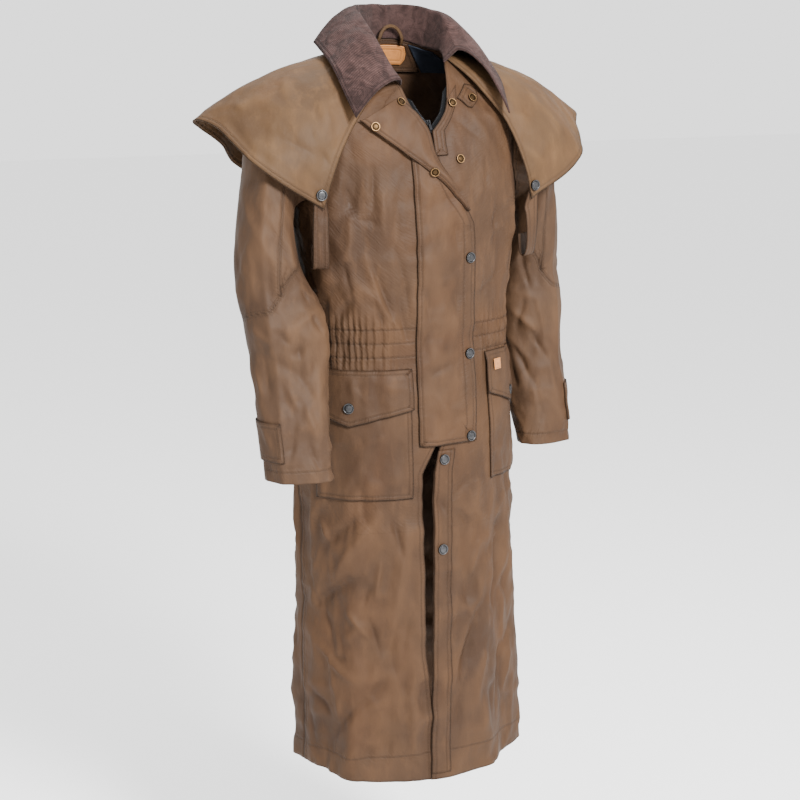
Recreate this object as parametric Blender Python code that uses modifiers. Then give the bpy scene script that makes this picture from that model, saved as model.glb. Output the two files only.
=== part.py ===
"""A full-length riding duster coat in waxed cotton, filled out as on a wearer and open at neck, cuffs and hem.

The origin is the middle of the neck where the coat hangs on its wearer. The front faces -Y, +Z is up and the
wearer's left is +X. Every piece of cloth is a sheet of its own, laid out in rows that run down the garment and
columns that run left to right as seen from outside, and given its thickness by a Solidify modifier.
"""
import math

import bpy
import numpy as np
from mathutils import Vector

# Driving dimensions in metres
WALL = 0.0014                # body, sleeve and cape cloth, two plies of waxed cotton at the seams
BAND_WALL = 0.0016           # facings, flaps, straps and tabs
CORD_WALL = 0.0024           # corduroy collar, two plies
SEAM_GAP = 0.0004            # between two pieces that are sewn edge to edge
LIFT = 0.0008                # between a panel and what lies on it
LAYER = BAND_WALL + LIFT     # one more layer on top of a band

FLAP_X_SEAM = -0.043         # storm flap: its sewn edge on the wearer's right front
FLAP_X_FREE = 0.072          # its free edge on the wearer's left front
FLAP_Z_TOP = -0.118
FLAP_Z_ROLL = -0.272         # the flap is turned back above this height
FLAP_Z_BOTTOM = -0.652
TAPE_WALL = 0.0010
FLAP_LIFT = 0.0034           # the storm flap stands this far off the body
TURNED_REST = 0.0006         # between the storm flap and its turned-back part at their edges
TURNED_CURL = 0.0060         # how far the turned-back part bows out in its middle
POCKET_LIFT = 0.0013
POCKET_FLAP_BOW = 0.0012     # a pocket flap stands out this much more on each of its first two rows
SNAP_GAP = 0.0005
FACING_DEPTH = 0.0026        # from the outer face of the back to the facing inside it
STRAP_WIDTH = 0.024
STRAP_GAP = 0.0009           # from the cape to the strap behind it
LOOP_RADIUS = 0.0021         # hanging loop inside the back of the neck
LOOP_X, LOOP_FOOT_Y, LOOP_FOOT_Z = 0.004, 0.0501, 0.0253
LOOP_HALF_WIDTH, LOOP_RISE, LOOP_FORWARD = 0.0227, 0.0305, 0.0062
SLIDER_X, SLIDER_Z = 0.0, -0.104
SLIDER_WIDTH, SLIDER_DEPTH, SLIDER_HEIGHT = 0.0070, 0.0026, 0.0090
BRIDGE_WIDTH = 0.0012
PULL_WIDTH, PULL_LENGTH = 0.0046, 0.0150
PULL_REST = 172.0            # degrees from straight up the zip, so that it hangs down against it
BAND_Z_TOP = -0.447          # gathered waist: first and last of its three rows of stitching
BAND_Z_BOTTOM = -0.495
HEM_Z = -1.245

HEM_SWAY, SWAY_START = 0.013, -0.56    # the skirt hangs a little to the wearer's left

SNAP_RADIUS = 0.0083
SNAP_HEIGHT = 0.0036
SNAP_SIDES = 10
STUD_RADIUS = 0.0062
GATHER_DEPTH = 0.0022
GATHERS_BACK = 26
GATHERS_FRONT = 13
COLUMNS_BACK = 26
COLUMNS_FRONT = 13

# Sections of the body, from the neck seam to the hem, in metres.
# height at the sides, height at the front, height at the back, half width, depth of front, depth of back
BODY_SECTIONS = (
    (0.014, -0.058, 0.034, 0.072, 0.078, 0.056),
    (-0.012, -0.090, -0.002, 0.118, 0.096, 0.076),
    (-0.033, -0.118, -0.038, 0.162, 0.109, 0.093),
    (-0.057, -0.148, -0.075, 0.202, 0.118, 0.104),
    (-0.105, -0.180, -0.116, 0.210, 0.127, 0.110),
    (-0.172, -0.224, -0.178, 0.213, 0.134, 0.115),
    (-0.242, -0.268, -0.246, 0.211, 0.138, 0.118),
    (-0.330, -0.336, -0.331, 0.203, 0.139, 0.118),
    (-0.430, -0.430, -0.430, 0.195, 0.136, 0.114),
    (-0.510, -0.510, -0.510, 0.193, 0.138, 0.115),
    (-0.610, -0.610, -0.610, 0.196, 0.144, 0.121),
    (-0.765, -0.765, -0.765, 0.199, 0.148, 0.128),
    (-0.925, -0.925, -0.925, 0.201, 0.152, 0.136),
    (-1.085, -1.085, -1.085, 0.203, 0.156, 0.143),
    (HEM_Z, -1.262, -1.240, 0.205, 0.160, 0.150),
)
SQUARENESS = 0.87            # power on the sine and cosine, under 1 for a ring fuller than an ellipse
SHOULDER_POINT, UNDERARM, BAND_START, BAND_END = 3, 6, 8, 9

# Half opening of the armhole round the side, in degrees, at rows from the shoulder point to the underarm
ARMHOLE = ((3.0, 0.0), (3.3, 13.0), (3.75, 25.0), (4.3, 32.0), (4.85, 35.0), (5.35, 31.0), (5.75, 19.0),
           (6.0, 0.0))

# Front edges: height, edge of the wearer's right front, edge of the wearer's left front
FRONT_EDGES = (
    (-0.058, -0.036, 0.060),
    (-0.090, -0.021, 0.036),
    (-0.118, -0.0030, 0.0030),
    (-0.640, -0.0030, 0.0030),
    (-0.700, -0.036, -0.016),
    (-1.262, -0.043, -0.034),
)

# Large folds of the body: middle angle, middle height, drift in degrees a metre, half width in degrees,
# half length, how far it stands out
BODY_FOLDS = (
    (206, -0.330, -70, 7.0, 0.080, 0.0050),
    (224, -0.350, -95, 6.0, 0.090, 0.0055),
    (236, -0.300, -60, 7.0, 0.110, -0.0045),
    (318, -0.340, 80, 7.0, 0.090, 0.0050),
    (334, -0.360, 60, 6.5, 0.080, -0.0040),
    (150, -0.330, 70, 8.0, 0.100, 0.0060),
    (128, -0.360, 30, 7.5, 0.080, -0.0040),
    (96, -0.300, 10, 9.0, 0.110, 0.0050),
    (64, -0.350, -40, 7.5, 0.090, -0.0045),
    (34, -0.330, -70, 8.0, 0.100, 0.0060),
    (214, -0.620, 60, 8.0, 0.060, 0.0030),
    (322, -0.640, -60, 8.0, 0.060, 0.0035),
)
# Folds that hang in the skirt: angle at the hem, drift in degrees a metre, half width in degrees, depth at hem
SKIRT_FOLDS = (
    (12, 10, 8.0, 0.010),
    (38, -8, 9.0, -0.009),
    (63, 6, 8.0, 0.012),
    (90, 0, 9.0, -0.008),
    (116, -6, 8.0, 0.012),
    (143, 8, 9.0, -0.010),
    (168, -8, 8.0, 0.010),
    (199, 12, 8.0, -0.007),
    (219, 10, 7.5, 0.010),
    (241, 14, 7.5, -0.006),
    (293, -6, 7.5, 0.007),
    (312, -16, 7.5, -0.009),
    (333, -10, 8.0, 0.010),
)
SKIRT_FOLD_START = -0.62

# The turned-back part of the storm flap: height and x at its roll line, height and x at its free edge
TURNED_FLAP = (
    (-0.064, -0.047, -0.098, -0.128),
    (-0.090, -0.024, -0.118, -0.106),
    (-0.118, -0.005, -0.140, -0.076),
    (-0.160, 0.003, -0.168, -0.036),
    (-0.200, 0.025, -0.206, 0.012),
    (-0.250, 0.057, -0.251, 0.052),
)

# Sections of the sleeves below the armholes; the wearer's left arm hangs further back.
# centre outward, centre along Y, centre height, half length outward, half length forward, turn, tilt in degrees
SLEEVE_RIGHT = (
    (0.2400, -0.004, -0.166, 0.0900, 0.0760, 0, 78),
    (0.2570, -0.014, -0.212, 0.0880, 0.0745, 6, 69),
    (0.2620, -0.024, -0.262, 0.0830, 0.0720, 12, 58),
    (0.2640, -0.040, -0.316, 0.0780, 0.0670, 19, 41),
    (0.2630, -0.060, -0.374, 0.0750, 0.0600, 25, 20),
    (0.2600, -0.079, -0.432, 0.0715, 0.0530, 28, 8),
    (0.2570, -0.089, -0.490, 0.0670, 0.0480, 28, 2),
    (0.2580, -0.102, -0.548, 0.0620, 0.0440, 28, 0),
    (0.2590, -0.114, -0.600, 0.0585, 0.0410, 28, 0),
    (0.2600, -0.124, -0.645, 0.0565, 0.0390, 28, 0),
    (0.2600, -0.132, -0.684, 0.0550, 0.0380, 28, 0),
)
SLEEVE_LEFT = (
    (0.2400, 0.000, -0.166, 0.0890, 0.0750, 0, 78),
    (0.2540, 0.004, -0.212, 0.0840, 0.0710, 0, 69),
    (0.2600, 0.008, -0.262, 0.0760, 0.0680, 0, 58),
    (0.2630, 0.012, -0.316, 0.0660, 0.0660, 0, 41),
    (0.2650, 0.013, -0.374, 0.0580, 0.0640, 2, 20),
    (0.2670, 0.010, -0.432, 0.0560, 0.0600, 6, 8),
    (0.2695, 0.004, -0.490, 0.0550, 0.0560, 10, 2),
    (0.2725, -0.004, -0.548, 0.0545, 0.0520, 14, 0),
    (0.2775, -0.013, -0.604, 0.0540, 0.0480, 17, 0),
    (0.2820, -0.022, -0.652, 0.0540, 0.0440, 20, 0),
    (0.2850, -0.030, -0.695, 0.0540, 0.0410, 20, 0),
)
ELBOW = 5                    # the section at which a sleeve's lower part is sewn on
ELBOW_SEAM = 0.010           # the gap of that seam, as a share of the way to the next section
# Creases across a sleeve: section, angle round it with 90 at the front, half width, half length, height
SLEEVE_FOLDS = (
    (3.0, 70, 34, 0.70, 0.0060),
    (4.2, 110, 40, 0.60, -0.0060),
    (5.2, 60, 38, 0.60, 0.0060),
    (4.6, 250, 40, 0.70, 0.0070),
    (6.3, 140, 40, 0.60, -0.0050),
    (7.4, 40, 42, 0.65, 0.0045),
    (7.0, 260, 44, 0.70, -0.0050),
)

# Cape, for the wearer's right and the back; the left is its mirror image.
# angle, hem x, y and z, and the x, y and z that the cloth is drawn towards on its way to the hem
CAPE_SECTIONS = (
    (238, -0.2010, -0.1140, -0.240, -0.168, -0.127, -0.092),
    (222, -0.2620, -0.1120, -0.205, -0.190, -0.118, -0.066),
    (205, -0.3180, -0.0780, -0.155, -0.225, -0.072, -0.030),
    (188, -0.3600, -0.0200, -0.106, -0.245, -0.020, -0.008),
    (172, -0.3600, 0.0350, -0.100, -0.245, 0.030, -0.004),
    (152, -0.3060, 0.1020, -0.138, -0.212, 0.096, -0.002),
    (132, -0.2360, 0.1460, -0.186, -0.160, 0.146, -0.012),
    (110, -0.1240, 0.1680, -0.252, -0.080, 0.165, -0.030),
    (90, 0.0000, 0.1740, -0.285, 0.000, 0.170, -0.040),
)
# Angle of the cape and the angle at the neck seam where it starts
CAPE_NECK = ((238, 230), (180, 180), (0, 0), (-58, -25))
CAPE_COLUMNS = 36
CAPE_ROWS = 8
CAPE_CROWDING = 0.85         # power that sets the rows of the cape closer towards its hem
CAPE_WAVE = 0.009

# Collar, from its end on the wearer's right round the back to its end on the left.
# angle, roll x, y and z, outer edge x, y and z
COLLAR_SECTIONS = (
    (243, -0.0440, -0.0850, -0.0350, -0.1480, -0.1260, -0.0930),
    (228, -0.0570, -0.0710, -0.0090, -0.1560, -0.1080, -0.0620),
    (207, -0.0710, -0.0420, 0.0360, -0.1580, -0.0580, -0.0110),
    (182, -0.0790, -0.0060, 0.0720, -0.1540, 0.0000, 0.0180),
    (156, -0.0720, 0.0260, 0.0840, -0.1360, 0.0520, 0.0280),
    (128, -0.0490, 0.0500, 0.0890, -0.0880, 0.0960, 0.0240),
    (90, 0.0000, 0.0600, 0.0900, 0.0000, 0.1160, 0.0220),
    (52, 0.0490, 0.0500, 0.0880, 0.0880, 0.0960, 0.0240),
    (24, 0.0730, 0.0240, 0.0820, 0.1340, 0.0500, 0.0260),
    (-2, 0.0800, -0.0100, 0.0680, 0.1520, -0.0060, 0.0160),
    (-19, 0.0830, -0.0330, 0.0370, 0.1580, -0.0640, -0.0180),
    (-33, 0.0820, -0.0540, 0.0140, 0.1470, -0.1220, -0.0900),
)
COLLAR_COLUMNS = 30

CLOTH_BODY = (0.262, 0.166, 0.106)
CLOTH_CAPE = (0.285, 0.192, 0.108)
CLOTH_SLEEVE = (0.240, 0.150, 0.096)
CORDUROY = (0.058, 0.040, 0.034)
BLACK = (0.012, 0.012, 0.013)
LEATHER = (0.440, 0.205, 0.075)
SILVER = (0.270, 0.270, 0.275)
BRASS = (0.300, 0.190, 0.080)


def remove_all():
    for item in list(bpy.data.objects):
        bpy.data.objects.remove(item, do_unlink=True)


def material(name, colour, roughness, metallic=0.0):
    found = bpy.data.materials.get(name)
    if found:
        return found
    made = bpy.data.materials.new(name)
    made.use_nodes = True
    shader = made.node_tree.nodes["Principled BSDF"]
    shader.inputs["Base Color"].default_value = (*colour, 1.0)
    shader.inputs["Roughness"].default_value = roughness
    shader.inputs["Metallic"].default_value = metallic
    made.diffuse_color = (*colour, 1.0)
    return made


def table(rows, at):
    """The row of a table at a fractional index, on a smooth curve through its rows."""
    last = len(rows) - 1
    at = min(max(at, 0.0), float(last))
    index = min(int(at), last - 1)
    t = at - index
    values = np.array(rows, dtype=float)
    p1, p2 = values[index], values[index + 1]
    p0 = values[index - 1] if index > 0 else 2 * p1 - p2
    p3 = values[index + 2] if index + 2 <= last else 2 * p2 - p1
    return 0.5 * (2 * p1 + (p2 - p0) * t + (2 * p0 - 5 * p1 + 4 * p2 - p3) * t ** 2
                  + (3 * p1 - p0 - 3 * p2 + p3) * t ** 3)


def between(rows, key):
    """Values of a table by its first column, in straight lines between rows."""
    values = np.array(rows, dtype=float)
    if values[0, 0] > values[-1, 0]:
        values = values[::-1]
    return [float(np.interp(key, values[:, 0], values[:, column])) for column in range(1, values.shape[1])]


def smooth_by_key(rows, key):
    """Values of a table by its first column, on a smooth curve through its rows."""
    keys = np.array([row[0] for row in rows], dtype=float)
    order = 1.0 if keys[-1] > keys[0] else -1.0
    at = float(np.interp(order * key, order * keys, np.arange(len(keys))))
    return table([row[1:] for row in rows], at)


def bump(offset, half_width):
    return math.exp(-(offset / half_width) ** 2)


def signed_power(value, power):
    return math.copysign(abs(value) ** power, value)


def body_relief(angle, height):
    """How far the cloth of the body stands out at an angle and a height."""
    out = 0.0
    for middle, z, drift, half_width, half_length, stand in BODY_FOLDS:
        along = height - z
        across = (angle - middle - drift * along + 180.0) % 360.0 - 180.0
        out += stand * bump(across, half_width) * bump(along, half_length)
    if height < SKIRT_FOLD_START:
        share = (SKIRT_FOLD_START - height) / (SKIRT_FOLD_START - HEM_Z)
        for middle, drift, half_width, stand in SKIRT_FOLDS:
            across = (angle - middle - drift * (height - HEM_Z) + 180.0) % 360.0 - 180.0
            out += stand * share * bump(across, half_width)
    return out


def skirt_sway(height):
    """How far the skirt has swung to the wearer's left at a height."""
    return HEM_SWAY * min(max((height - SWAY_START) / (HEM_Z - SWAY_START), 0.0), 1.0)


def body_point(row, angle, gather=0.0):
    """A point on the outer face of the body, by row and by angle in degrees, 270 being the front."""
    z_side, z_front, z_back, half_width, front, back = table(BODY_SECTIONS, row)
    turn = math.radians(angle)
    c, s = math.cos(turn), math.sin(turn)
    depth = back if s > 0 else front
    z_end = z_back if s > 0 else z_front
    z = z_side * c * c + z_end * s * s
    out = body_relief(angle, z) + gather
    x = half_width * signed_power(c, SQUARENESS) + out * c + skirt_sway(z)
    y = depth * signed_power(s, SQUARENESS) + out * s
    return np.array((x, y, z))


def body_normal(row, angle):
    step = 0.6
    across = body_point(row, angle + step) - body_point(row, angle - step)
    down = body_point(row + 0.06, angle) - body_point(max(row - 0.06, 0.0), angle)
    normal = np.cross(down, across)
    return normal / np.linalg.norm(normal)


def row_at(angle, height):
    """The row of the body that has a height at an angle."""
    low, high = 0.0, len(BODY_SECTIONS) - 1.0
    for _ in range(40):
        middle = 0.5 * (low + high)
        if body_point(middle, angle)[2] > height:
            low = middle
        else:
            high = middle
    return 0.5 * (low + high)


def angle_at_x(row, x):
    """The angle on the front of the body whose place across is x."""
    half_width = table(BODY_SECTIONS, row)[3]
    share = min(abs(x) / half_width, 1.0) ** (1.0 / SQUARENESS)
    return 270.0 + math.copysign(math.degrees(math.asin(share)), x)


def on_front(x, height, lift):
    """A point on the front of the body, by place across and height, moved out by lift."""
    angle = 270.0
    for _ in range(12):
        row = row_at(angle, height)
        angle = angle_at_x(row, x)
    return body_point(row, angle) + body_normal(row, angle) * lift


def by_row(row, x, lift):
    """A point on the front of the body, by row and place across, moved out by lift."""
    angle = angle_at_x(row, x)
    return body_point(row, angle) + body_normal(row, angle) * lift


def on_body(angle, height, lift):
    row = row_at(angle, height)
    return body_point(row, angle) + body_normal(row, angle) * lift


def loft(rows, closed=False):
    """Faces between rows of points, top row first, each row left to right as seen from outside."""
    points, faces, starts = [], [], []
    for row in rows:
        starts.append(len(points))
        points.extend([tuple(point) for point in row])
    for upper in range(len(rows) - 1):
        top, low = len(rows[upper]), len(rows[upper + 1])
        a, b = starts[upper], starts[upper + 1]
        if top == low:
            count = top if closed else top - 1
            for i in range(count):
                n = (i + 1) % top
                faces.append((a + i, b + i, b + n, a + n))
            continue
        i = j = 0
        while i < top - 1 or j < low - 1:
            next_top = (i + 1) / (top - 1) if i < top - 1 else 2.0
            next_low = (j + 1) / (low - 1) if j < low - 1 else 2.0
            if abs(next_top - next_low) < 1e-9:
                faces.append((a + i, b + j, b + j + 1, a + i + 1))
                i, j = i + 1, j + 1
            elif next_top < next_low:
                faces.append((a + i, b + j, a + i + 1))
                i += 1
            else:
                faces.append((a + i, b + j, b + j + 1))
                j += 1
    return points, faces


def add_mesh(name, points, faces, look):
    mesh = bpy.data.meshes.new(name)
    mesh.from_pydata(points, [], faces)
    mesh.update()
    made = bpy.data.objects.new(name, mesh)
    bpy.data.collections["duster_coat"].objects.link(made)
    made.data.materials.append(look)
    mesh.shade_smooth()
    return made


def sheet(name, rows, thickness, look, outward, closed=False):
    """Cloth of a thickness on rows of points, grown outward from them or inward."""
    points, faces = loft(rows, closed)
    made = add_mesh(name, points, faces, look)
    wall = made.modifiers.new("wall", "SOLIDIFY")
    wall.thickness = thickness
    wall.offset = 1.0 if outward else -1.0
    return made


def armhole_half(row):
    if row <= SHOULDER_POINT or row >= UNDERARM:
        return 0.0
    return between(ARMHOLE, row)[0]


def body_rows():
    """Rows of the body from neck to hem, each with whether it lies in the gathered waist."""
    rows = [(row, False) for row in (0.0, 0.5, 1.0, 1.5, 2.0)]
    rows += [(row, False) for row, _ in ARMHOLE]
    rows += [(6.5, False), (7.0, False), (7.5, False)]
    height = BODY_SECTIONS[BAND_START][0]
    span = BODY_SECTIONS[BAND_START][0] - BODY_SECTIONS[BAND_END][0]
    rows.append((float(BAND_START), False))
    for step in range(5):
        z = BAND_Z_TOP + (BAND_Z_BOTTOM - BAND_Z_TOP) * step / 4
        rows.append((BAND_START + (height - z) / span, True))
    rows += [(float(BAND_END), False), (9.5, False)]
    rows += [(row, False) for row in (10.0, 10.8, 11.6, 12.4, 13.2, 14.0)]
    return rows


def centre_fade(angle):
    """0 at the centre front, where the waist isn't gathered, and 1 away from it."""
    away = abs((angle - 270.0 + 180.0) % 360.0 - 180.0)
    return min(max((away - 16.0) / 10.0, 0.0), 1.0)


def body_panel(name, first, last, columns, gathers):
    """A panel of the body between two edges, each given as a function of row."""
    rows = []
    band_row = 0
    for row, gathered in body_rows():
        half_width = table(BODY_SECTIONS, row)[3]
        seam = math.degrees(SEAM_GAP / 2 / half_width)
        start, end = first(row) + seam, last(row) - seam
        count = columns * 2 if gathered else columns
        line = []
        for i in range(count + 1):
            u = i / count
            angle = start + (end - start) * u
            pleat = 0.0
            if gathered:
                puff = 0.0022 if band_row % 2 else -0.0022
                depth = GATHER_DEPTH * (1.25 if band_row % 2 else 0.8)
                pleat = (puff - depth * math.cos(2 * math.pi * gathers * u)) * centre_fade(angle)
            line.append(body_point(row, angle, pleat))
        band_row += 1 if gathered else 0
        rows.append(line)
    return sheet(name, rows, WALL, material("waxed_cotton", CLOTH_BODY, 0.55), outward=False)


def front_edge(row, side):
    z_front = table(BODY_SECTIONS, row)[1]
    right, left = between(FRONT_EDGES, z_front)
    return angle_at_x(row, right if side < 0 else left)


def make_body():
    body_panel("back", lambda row: armhole_half(row), lambda row: 180.0 - armhole_half(row),
               COLUMNS_BACK, GATHERS_BACK)
    body_panel("front_right", lambda row: 180.0 + armhole_half(row), lambda row: front_edge(row, -1),
               COLUMNS_FRONT, GATHERS_FRONT)
    body_panel("front_left", lambda row: front_edge(row, 1), lambda row: 360.0 - armhole_half(row),
               COLUMNS_FRONT, GATHERS_FRONT)


def armhole_loop(side):
    """Points round an armhole just outside it: down the front from the shoulder, then up the back."""
    front, back = [], []
    for row, half in ARMHOLE:
        base = 0.0 if side > 0 else 180.0
        front.append(body_point(row, base - side * half))
        back.append(body_point(row, base + side * half))
    points = front + back[-2:0:-1]
    middle = sum(points) / len(points)
    moved = []
    for point in points:
        away = (point - middle) / np.linalg.norm(point - middle)
        moved.append(point + np.array((side * 0.0008, 0.0, -0.0001)) + away * 0.0002)
    return moved


def ring_angles(side):
    """Angle round the sleeve for each point of the armhole: 0 at the shoulder, 90 at the front, 180 below."""
    loop = armhole_loop(side)
    middle = sum(loop) / len(loop)
    angles = []
    for point in loop:
        away = point - middle
        angles.append(math.degrees(math.atan2(-away[1] / 0.072, away[2] / 0.092)) % 360.0)
    return [0.0] + angles[1:]


def sleeve_point(side, section, around, lift=0.0):
    """A point on a sleeve below the armhole, by section and angle round it."""
    out, y, z, half_out, half_front, turn, tilt = table(SLEEVE_RIGHT if side < 0 else SLEEVE_LEFT, section)
    turn, tilt, angle = math.radians(turn), math.radians(tilt), math.radians(around)
    outward = np.array((side * math.cos(tilt) * math.cos(turn), math.cos(tilt) * math.sin(turn), math.sin(tilt)))
    forward = np.array((side * math.sin(turn), -math.cos(turn), 0.0))
    relief = lift
    for at, middle, half_width, half_length, stand in SLEEVE_FOLDS:
        across = (around - middle + 180.0) % 360.0 - 180.0
        relief += stand * bump(across, half_width) * bump(section - at, half_length)
    centre = np.array((side * out, y, z))
    return centre + outward * (half_out + relief) * math.cos(angle) + forward * (half_front + relief) * math.sin(angle)


def sleeve_ring(side, section, angles):
    """The points round a sleeve at a section: spread as the armhole's at the top and evenly from the elbow down."""
    share = min(section / ELBOW, 1.0)
    even = [360.0 * i / len(angles) for i in range(len(angles))]
    ring = [start * (1 - share) + level * share for start, level in zip(angles, even)]
    return [sleeve_point(side, section, around) for around in ring]


def make_sleeve(name, side):
    """A sleeve in two parts, sewn together at the elbow."""
    angles = ring_angles(side)
    last = len(SLEEVE_RIGHT) - 1
    upper = [armhole_loop(side)] + [sleeve_ring(side, section, angles) for section in range(ELBOW + 1)]
    sections = [ELBOW + ELBOW_SEAM] + list(range(ELBOW + 1, last + 1))
    lower = [sleeve_ring(side, section, angles) for section in sections]
    for part, rows in ((name, upper), (name + "_lower", lower)):
        if side > 0:
            rows = [row[:1] + row[:0:-1] for row in rows]
        sheet(part, rows, WALL, material("waxed_cotton_sleeve", CLOTH_SLEEVE, 0.55), False, closed=True)


def mirrored(rows):
    """A table by angle for the wearer's right and the back, carried on to the wearer's left."""
    left = []
    for row in rows[-2::-1]:
        flipped = list(row[1:])
        for column in range(0, len(flipped), 3):
            flipped[column] = -flipped[column]
        left.append((180.0 - row[0], *flipped))
    return list(rows) + left


def neck_point(angle, out, up):
    """A point by the neck seam, moved out from the neck and up."""
    turn = math.radians(angle)
    point = body_point(0.0, angle)
    return point + np.array((out * math.cos(turn), out * math.sin(turn), up))


def cape_point(angle, share, lift=0.0):
    """A point on the cape, by angle and by share of the way from the neck seam to its hem."""
    hem_x, hem_y, hem_z, mid_x, mid_y, mid_z = smooth_by_key(mirrored(CAPE_SECTIONS), angle)
    start = neck_point(between(CAPE_NECK, angle)[0], 0.0012, 0.0010)
    hem, mid = np.array((hem_x, hem_y, hem_z)), np.array((mid_x, mid_y, mid_z))
    point = start * (1 - share) ** 2 + 2 * mid * share * (1 - share) + hem * share ** 2
    wave = CAPE_WAVE * math.cos(math.radians(abs(90.0 - angle) * 9.0)) * share ** 2
    out = np.array((math.cos(math.radians(angle)), math.sin(math.radians(angle)), 0.15))
    return point + out * (wave + lift)


def cape_grid():
    """The cape's points: rows from neck to hem, each from its front edge on the wearer's left round to the right."""
    first, last = CAPE_SECTIONS[0][0], 180.0 - CAPE_SECTIONS[0][0]
    rows = []
    for j in range(CAPE_ROWS + 1):
        share = (j / CAPE_ROWS) ** CAPE_CROWDING
        rows.append([cape_point(last + (first - last) * i / CAPE_COLUMNS, share)
                     for i in range(CAPE_COLUMNS + 1)])
    return rows


def cape_corner(side, across, down):
    """A place on the cape's front corner, by shares in from its front edge and down to its hem, and the normal."""
    grid = cape_grid()
    edge, inner = (-1, -2) if side < 0 else (0, 1)
    above = grid[-2][edge] * (1 - across) + grid[-2][inner] * across
    below = grid[-1][edge] * (1 - across) + grid[-1][inner] * across
    normal = np.cross(grid[-1][inner] - grid[-1][edge], grid[-2][edge] - grid[-1][edge])
    normal = normal / np.linalg.norm(normal)
    return above * (1 - down) + below * down, normal if normal[1] < 0 else -normal


def make_cape():
    rows = cape_grid()
    return sheet("cape", rows, WALL, material("waxed_cotton_cape", CLOTH_CAPE, 0.5), outward=True)


def collar_point(angle, share):
    """A point on the collar's outer face: share 0 to 1 up the stand, 1 to 2 down the fall."""
    roll_x, roll_y, roll_z, edge_x, edge_y, edge_z = smooth_by_key(COLLAR_SECTIONS, angle)
    roll, edge = np.array((roll_x, roll_y, roll_z)), np.array((edge_x, edge_y, edge_z))
    foot = neck_point(angle, -0.0010, 0.0008)
    if share <= 1.0:
        return foot * (1 - share) + roll * share
    down = share - 1.0
    flat = np.array((edge_x - roll_x, edge_y - roll_y, 0.0))
    bow = roll + flat * 0.42 + np.array((0.0, 0.0, 0.004))
    return roll * (1 - down) ** 2 + 2 * bow * down * (1 - down) + edge * down ** 2


def make_collar():
    first, last = COLLAR_SECTIONS[0][0], COLLAR_SECTIONS[-1][0]
    shares = (0.0, 0.5, 0.88, 1.0, 1.12, 1.35, 1.65, 2.0)
    rows = [[collar_point(first + (last - first) * i / COLLAR_COLUMNS, share)
             for i in range(COLLAR_COLUMNS + 1)] for share in shares]
    return sheet("collar", rows, CORD_WALL, material("corduroy", CORDUROY, 0.9), outward=False)


def strip(name, edges, columns, look, first_lift, lift):
    """A band on the front of the body between two edges: rows of height, left x and right x.

    Its left edge lies at first_lift off the body and the rest of it at lift.
    """
    rows = []
    for height, left, right in edges:
        line = []
        for i in range(columns + 1):
            x = left + (right - left) * i / columns
            line.append(on_front(x, height, lift if i else first_lift))
        rows.append(line)
    return sheet(name, rows, BAND_WALL, look, outward=True)


def spread(edges, count):
    """More rows between those of a table, evenly down it."""
    first, last = edges[0][0], edges[-1][0]
    rows = []
    for i in range(count + 1):
        height = first + (last - first) * i / count
        rows.append((height, *between(edges, height)))
    return rows


def turned_point(at, share, lift=0.0):
    """A point on the turned-back flap, by row of its table and by share of the way from roll to free edge."""
    roll_z, roll_x, free_z, free_x = table(TURNED_FLAP, at)
    stand = FLAP_LIFT + BAND_WALL + TURNED_REST + TURNED_CURL * math.sin(math.pi * share)
    return on_front(roll_x + (free_x - roll_x) * share, roll_z + (free_z - roll_z) * share, stand + lift)


def make_storm_flap():
    """The flap over the zip, and its upper part turned back over the wearer's right front."""
    look = material("waxed_cotton", CLOTH_BODY, 0.55)
    edges = (
        (FLAP_Z_TOP, FLAP_X_SEAM, -0.004),
        (-0.160, FLAP_X_SEAM, 0.004),
        (-0.215, FLAP_X_SEAM, 0.034),
        (FLAP_Z_ROLL, FLAP_X_SEAM + 0.001, FLAP_X_FREE - 0.003),
        (-0.30, FLAP_X_SEAM + 0.002, FLAP_X_FREE),
        (FLAP_Z_BOTTOM, FLAP_X_SEAM + 0.002, FLAP_X_FREE),
    )
    strip("storm_flap", spread(edges, 16), 8, look, LIFT, FLAP_LIFT)
    rows = [[turned_point(at / 2, 1 - k / 5) for k in range(6)] for at in range(11)]
    sheet("storm_flap_turned", rows, BAND_WALL, look, outward=True)


def edge_band(name, side, first, last, count, inner, outer, look, lift, thickness, columns=2):
    """A band along a front edge between two rows of the body, from inner to outer away from that edge."""
    rows = []
    for j in range(count + 1):
        row = first + (last - first) * j / count
        z_front, half_width = table(BODY_SECTIONS, row)[1], table(BODY_SECTIONS, row)[3]
        edge = between(FRONT_EDGES, z_front)[0 if side < 0 else 1]
        line = []
        for i in range(columns + 1):
            share = i / columns if side > 0 else 1 - i / columns
            x = edge + side * (inner + (outer - inner) * share)
            x = side * min(max(side * x, 0.0006), half_width * 0.985)
            angle = angle_at_x(row, x)
            line.append(body_point(row, angle) + body_normal(row, angle) * lift)
        rows.append(line)
    return sheet(name, rows, thickness, look, outward=True)


def make_front_bands():
    """The bands that show in the neck opening, the zip tapes, and the band down the left skirt edge."""
    tan = material("waxed_cotton", CLOTH_BODY, 0.55)
    black = material("zip_tape", BLACK, 0.8)
    edge_band("placket_left", 1, 0.6, 3.35, 9, 0.0, 0.0250, tan, LIFT + 0.0003, BAND_WALL, 3)
    skirt = ((-0.662, -0.0060, 0.0280), (-0.70, -0.0150, 0.0210), (-1.250, -0.0330, 0.0030))
    strip("skirt_placket_left", spread(skirt, 10), 3, tan, LIFT, LIFT)
    under = -WALL - 0.0014 - TAPE_WALL
    for name, side in (("zip_tape_right", -1), ("zip_tape_left", 1)):
        edge_band(name, side, 0.3, 2.0, 6, -0.0100, 0.0080, black, under, TAPE_WALL)
    for name, side in (("zip_tape_lower_right", -1), ("zip_tape_lower_left", 1)):
        edge_band(name, side, 2.02, 10.0, 10, -0.0022, 0.0120, black, under, TAPE_WALL)


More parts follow.
